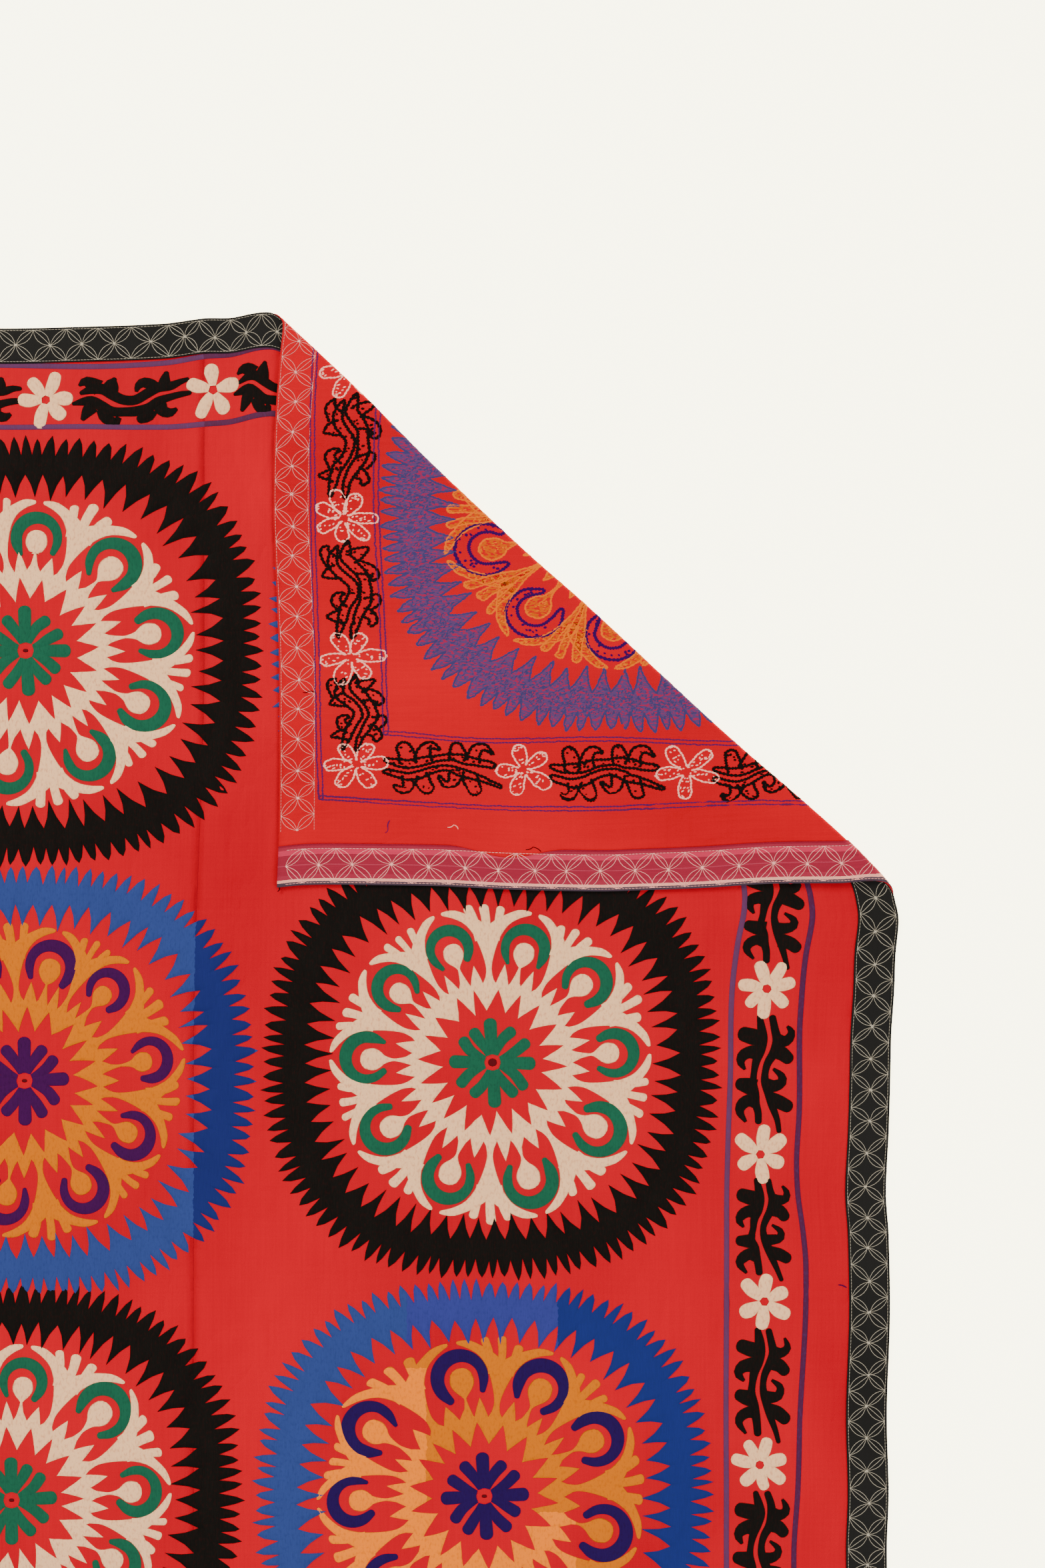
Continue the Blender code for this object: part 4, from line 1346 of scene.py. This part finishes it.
# Ends of thread that were never trimmed: where each starts on the folded corner, as it lies, and its run
strays = (
    # key, x, y, then dx, dy in mm for each of its bends
    ("blackBack", 0.3285, 0.6590, (-9, 2), (-15, 1)),
    ("lineBack", 0.4110, 0.5160, (-2, -9), (-5, -14)),
    ("pinkBack", 0.4760, 0.5080, (7, 3), (12, -2)),
    ("blackBack", 0.5640, 0.4830, (8, 3), (17, -2)),
    ("blueBack", 0.4700, 0.7480, (5, -8), (2, -15)),
    ("blackBack", 0.2900, 0.4450, (-3, -4), (-5, -9)),
    ("lineBack", 0.2890, 0.4520, (4, 3), (3, 9)),
    ("blackBack", 0.2880, 0.4700, (5, 4), (8, 2)),
)
for key, x, y, first, second in strays:
    xs = x + np.array((0.0, first[0], second[0])) * mm
    ys = y + np.array((0.0, first[1], second[1])) * mm
    s, t = clothUnder(xs, ys)
    points = np.stack([s, t], axis=-1)
    stitches(key, points[:-1], points[1:], 0.6, 0.6, -clothFace, -1, (1.0, -1.0), 5)
stitches("purple", np.array(((0.915, -0.006),)), np.array(((0.924, -0.009),)), 0.9, 0.7, clothFace, 1, 0.8, 5)
print("borders drawn")


# Machine stitching on the edging: stars down its middle, each joined to points on both its edges by four
# petals of three lines

stitching = {"pitchSide": 0.0356, "pitchEnd": 0.0366, "firstSide": 0.2831, "firstTop": -0.0100, "bulge": 4.8,
             "insetSide": 0.0026, "insetEnd": 0.0022, "half": 0.31, "edgeHalf": 0.32, "edgePitch": 0.0036,
             "edgeStart": 0.0003, "edgeStop": 0.0033}


def drawStitching(key, along, middle, reach, turn, base, side, keep=None):
    # turn places (along, across) on the cloth
    along = along + chance.normal(0, 0.0012, len(along))
    across = middle + chance.normal(0, 0.0010, len(along))
    half = (along[1:] + along[:-1]) / 2 + chance.normal(0, 0.0010, len(along) - 1)
    starts, ends, bows = [], [], []
    for i in range(len(half)):
        for near in (i, i + 1):
            for hand in (-1, 1):
                for bow in (-1, 0, 1):
                    node = (half[i] + chance.normal(0, 0.0005), middle + hand * reach)
                    star = (along[near] + chance.normal(0, 0.0004), across[near] + chance.normal(0, 0.0004))
                    starts.append(turn(*star))
                    ends.append(turn(*node))
                    bows.append(bow * stitching["bulge"] * chance.uniform(0.85, 1.15) + chance.normal(0, 0.3))
    starts, ends, bows = np.array(starts), np.array(ends), np.array(bows)
    if keep is not None:
        wanted = keep((starts[:, 0] + ends[:, 0]) / 2, (starts[:, 1] + ends[:, 1]) / 2)
        starts, ends, bows = starts[wanted], ends[wanted], bows[wanted]
    stitches(key, starts, ends, stitching["half"], 0.4, base, side, bows, 7)
    # the stitches crowd together at the stars and the points
    for share, size in ((0.0, 2.4), (1.0, 1.8)):
        knots = starts + (ends - starts) * share
        short = (ends - starts) * (0.06 if share == 0 else -0.05)
        stitches(key, knots, knots + short, stitching["half"] * size, 0.6, base, side)
    for hand in (-1, 1):
        # a row of running stitches along each edge
        ticks = np.arange(along[0], along[-1], stitching["edgePitch"])
        first = np.array([turn(a + stitching["edgeStart"], middle + hand * reach) for a in ticks])
        second = np.array([turn(a + stitching["edgeStop"], middle + hand * reach) for a in ticks])
        if keep is not None:
            wanted = keep(first[:, 0], first[:, 1])
            first, second = first[wanted], second[wanted]
        stitches(key, first, second, stitching["edgeHalf"], 0.3, base, side)


def spread(low, high, through, pitch):
    first = through + math.ceil((low - through) / pitch) * pitch
    return np.arange(first, high, pitch)


stripFace = cloth["stripLift"] + cloth["stripThick"] / 2
sideMiddle, endMiddle = w - side / 2, h - end / 2
sideReach, endReach = side / 2 - stitching["insetSide"], end / 2 - stitching["insetEnd"]
downSide = spread(-h + 0.004, h - 0.004, stitching["firstSide"], stitching["pitchSide"])
alongEnd = spread(-w + side + 0.006, w - side - 0.006, stitching["firstTop"], stitching["pitchEnd"])
sideRun, endRun = (downSide, sideMiddle, sideReach), (alongEnd, endMiddle, endReach)
drawStitching("grey", *sideRun, lambda a, b: (b, a), stripFace, 1)
drawStitching("grey", *sideRun, lambda a, b: (-b, a), stripFace, 1)
drawStitching("grey", *endRun, lambda a, b: (a, b), stripFace, 1)
drawStitching("grey", *endRun, lambda a, b: (a, -b), stripFace, 1)
drawStitching("pale", *sideRun, lambda a, b: (b, a), -stripFace, -1, onFlap)
drawStitching("pale", *endRun, lambda a, b: (a, b), -clothFace, -1, onFlap)
print("edging stitched")


def finishThreads():
    pieces = {}
    for key, group in threads.items():
        points = np.concatenate(group["points"])
        faces = np.concatenate(group["faces"])
        near = np.concatenate(group["near"])
        x, y = layOut(points[:, 0], points[:, 1])
        laid = np.stack([x, y, points[:, 2]], axis=-1)
        if near.any():
            used, back = np.unique(faces[near], return_inverse=True)
            mesh = bpy.data.meshes.new("work")
            mesh.from_pydata(laid[used].tolist(), [], back.reshape(-1, 4).tolist())
            bm = bmesh.new()
            bm.from_mesh(mesh)
            bpy.data.meshes.remove(mesh)
            bisectAtFold(bm, foldRuns())
            nearPoints, nearFaces = readBmesh(bm)
            bm.free()
            far, back = np.unique(faces[~near], return_inverse=True)
            faces = back.reshape(-1, 4).tolist() + [[i + len(far) for i in f] for f in nearFaces]
            laid = np.concatenate([laid[far], nearPoints])
        s, t = flatPlace(laid[:, 0], laid[:, 1])
        folded = foldOver(s, laid[:, 0], laid[:, 1], laid[:, 2])
        obj = setMesh(key + "Threads", folded, faces, np.stack([s, t], axis=-1), (key,))
        rise = obj.data.attributes.new("rise", "FLOAT", "POINT")
        rise.data.foreach_set("value", ((np.abs(laid[:, 2]) - clothFace) / mm).astype(np.float32))
        pieces[key] = obj
        print(f"{key} threads: {len(obj.data.polygons)} faces")
    return pieces


threadPieces = finishThreads()


# Floor, light and camera

lightTable = {
    "half": 9,
    "top": -0.0003,
    "colour": "#f1eee6",
    "glow": (1.0, 0.955, 0.60, 1.0),
    "strength": 6.0,
}


def makeStage():
    mesh = bpy.data.meshes.new("floor")
    corners = [(x * lightTable["half"], y * lightTable["half"], lightTable["top"])
               for x, y in ((-1, -1), (1, -1), (1, 1), (-1, 1))]
    mesh.from_pydata(corners, [], [(0, 1, 2, 3)])
    # glows evenly, so the cloth leaves no shadow on it
    material = bpy.data.materials.new("white opal acrylic light table")
    material.use_nodes = True
    shader = material.node_tree.nodes["Principled BSDF"]
    shader.inputs["Base Color"].default_value = linear(lightTable["colour"])
    shader.inputs["Roughness"].default_value = 0.95
    shader.inputs["Specular IOR Level"].default_value = 0.1
    shader.inputs["Emission Color"].default_value = lightTable["glow"]
    shader.inputs["Emission Strength"].default_value = lightTable["strength"]
    mesh.materials.append(material)
    floor = bpy.data.objects.new("floor", mesh)
    bpy.context.scene.collection.objects.link(floor)


aimPlace = np.array((0.45, 0.4, 0.0))


def makeLight(name, place, size, power, colour):
    light = bpy.data.lights.new(name, "AREA")
    light.shape = "SQUARE"
    light.size = size
    light.energy = power
    light.color = linear(colour)[:3]
    lamp = bpy.data.objects.new(name, light)
    lamp.location = place
    aim = aimPlace - np.array(place)
    tilt = math.atan2(math.hypot(aim[0], aim[1]), -aim[2])
    lamp.rotation_euler = (tilt, 0.0, math.atan2(aim[1], aim[0]) - math.pi / 2)
    bpy.context.scene.collection.objects.link(lamp)


makeStage()
makeLight("key softbox", (-2.6, 3.4, 3.6), 2.2, 270.0, "#fffaf2")
makeLight("fill softbox", (3.6, -2.4, 3.8), 2.6, 165.0, "#fbfbff")
world = bpy.data.worlds.new("studio")
bpy.context.scene.world = world
world.use_nodes = True
world.node_tree.nodes["Background"].inputs["Color"].default_value = (1.0, 1.0, 1.0, 1.0)
world.node_tree.nodes["Background"].inputs["Strength"].default_value = 1.02

view = {"x": 0.56025, "y": 0.556875, "height": 4.0, "field": 1.764}
camera = bpy.data.cameras.new("camera")
camera.sensor_fit = "VERTICAL"
camera.angle = 2 * math.atan(view["field"] / 2 / view["height"])
cameraObject = bpy.data.objects.new("camera", camera)
cameraObject.location = (view["x"], view["y"], view["height"])
bpy.context.scene.collection.objects.link(cameraObject)
bpy.context.scene.camera = cameraObject
print("stage ready")
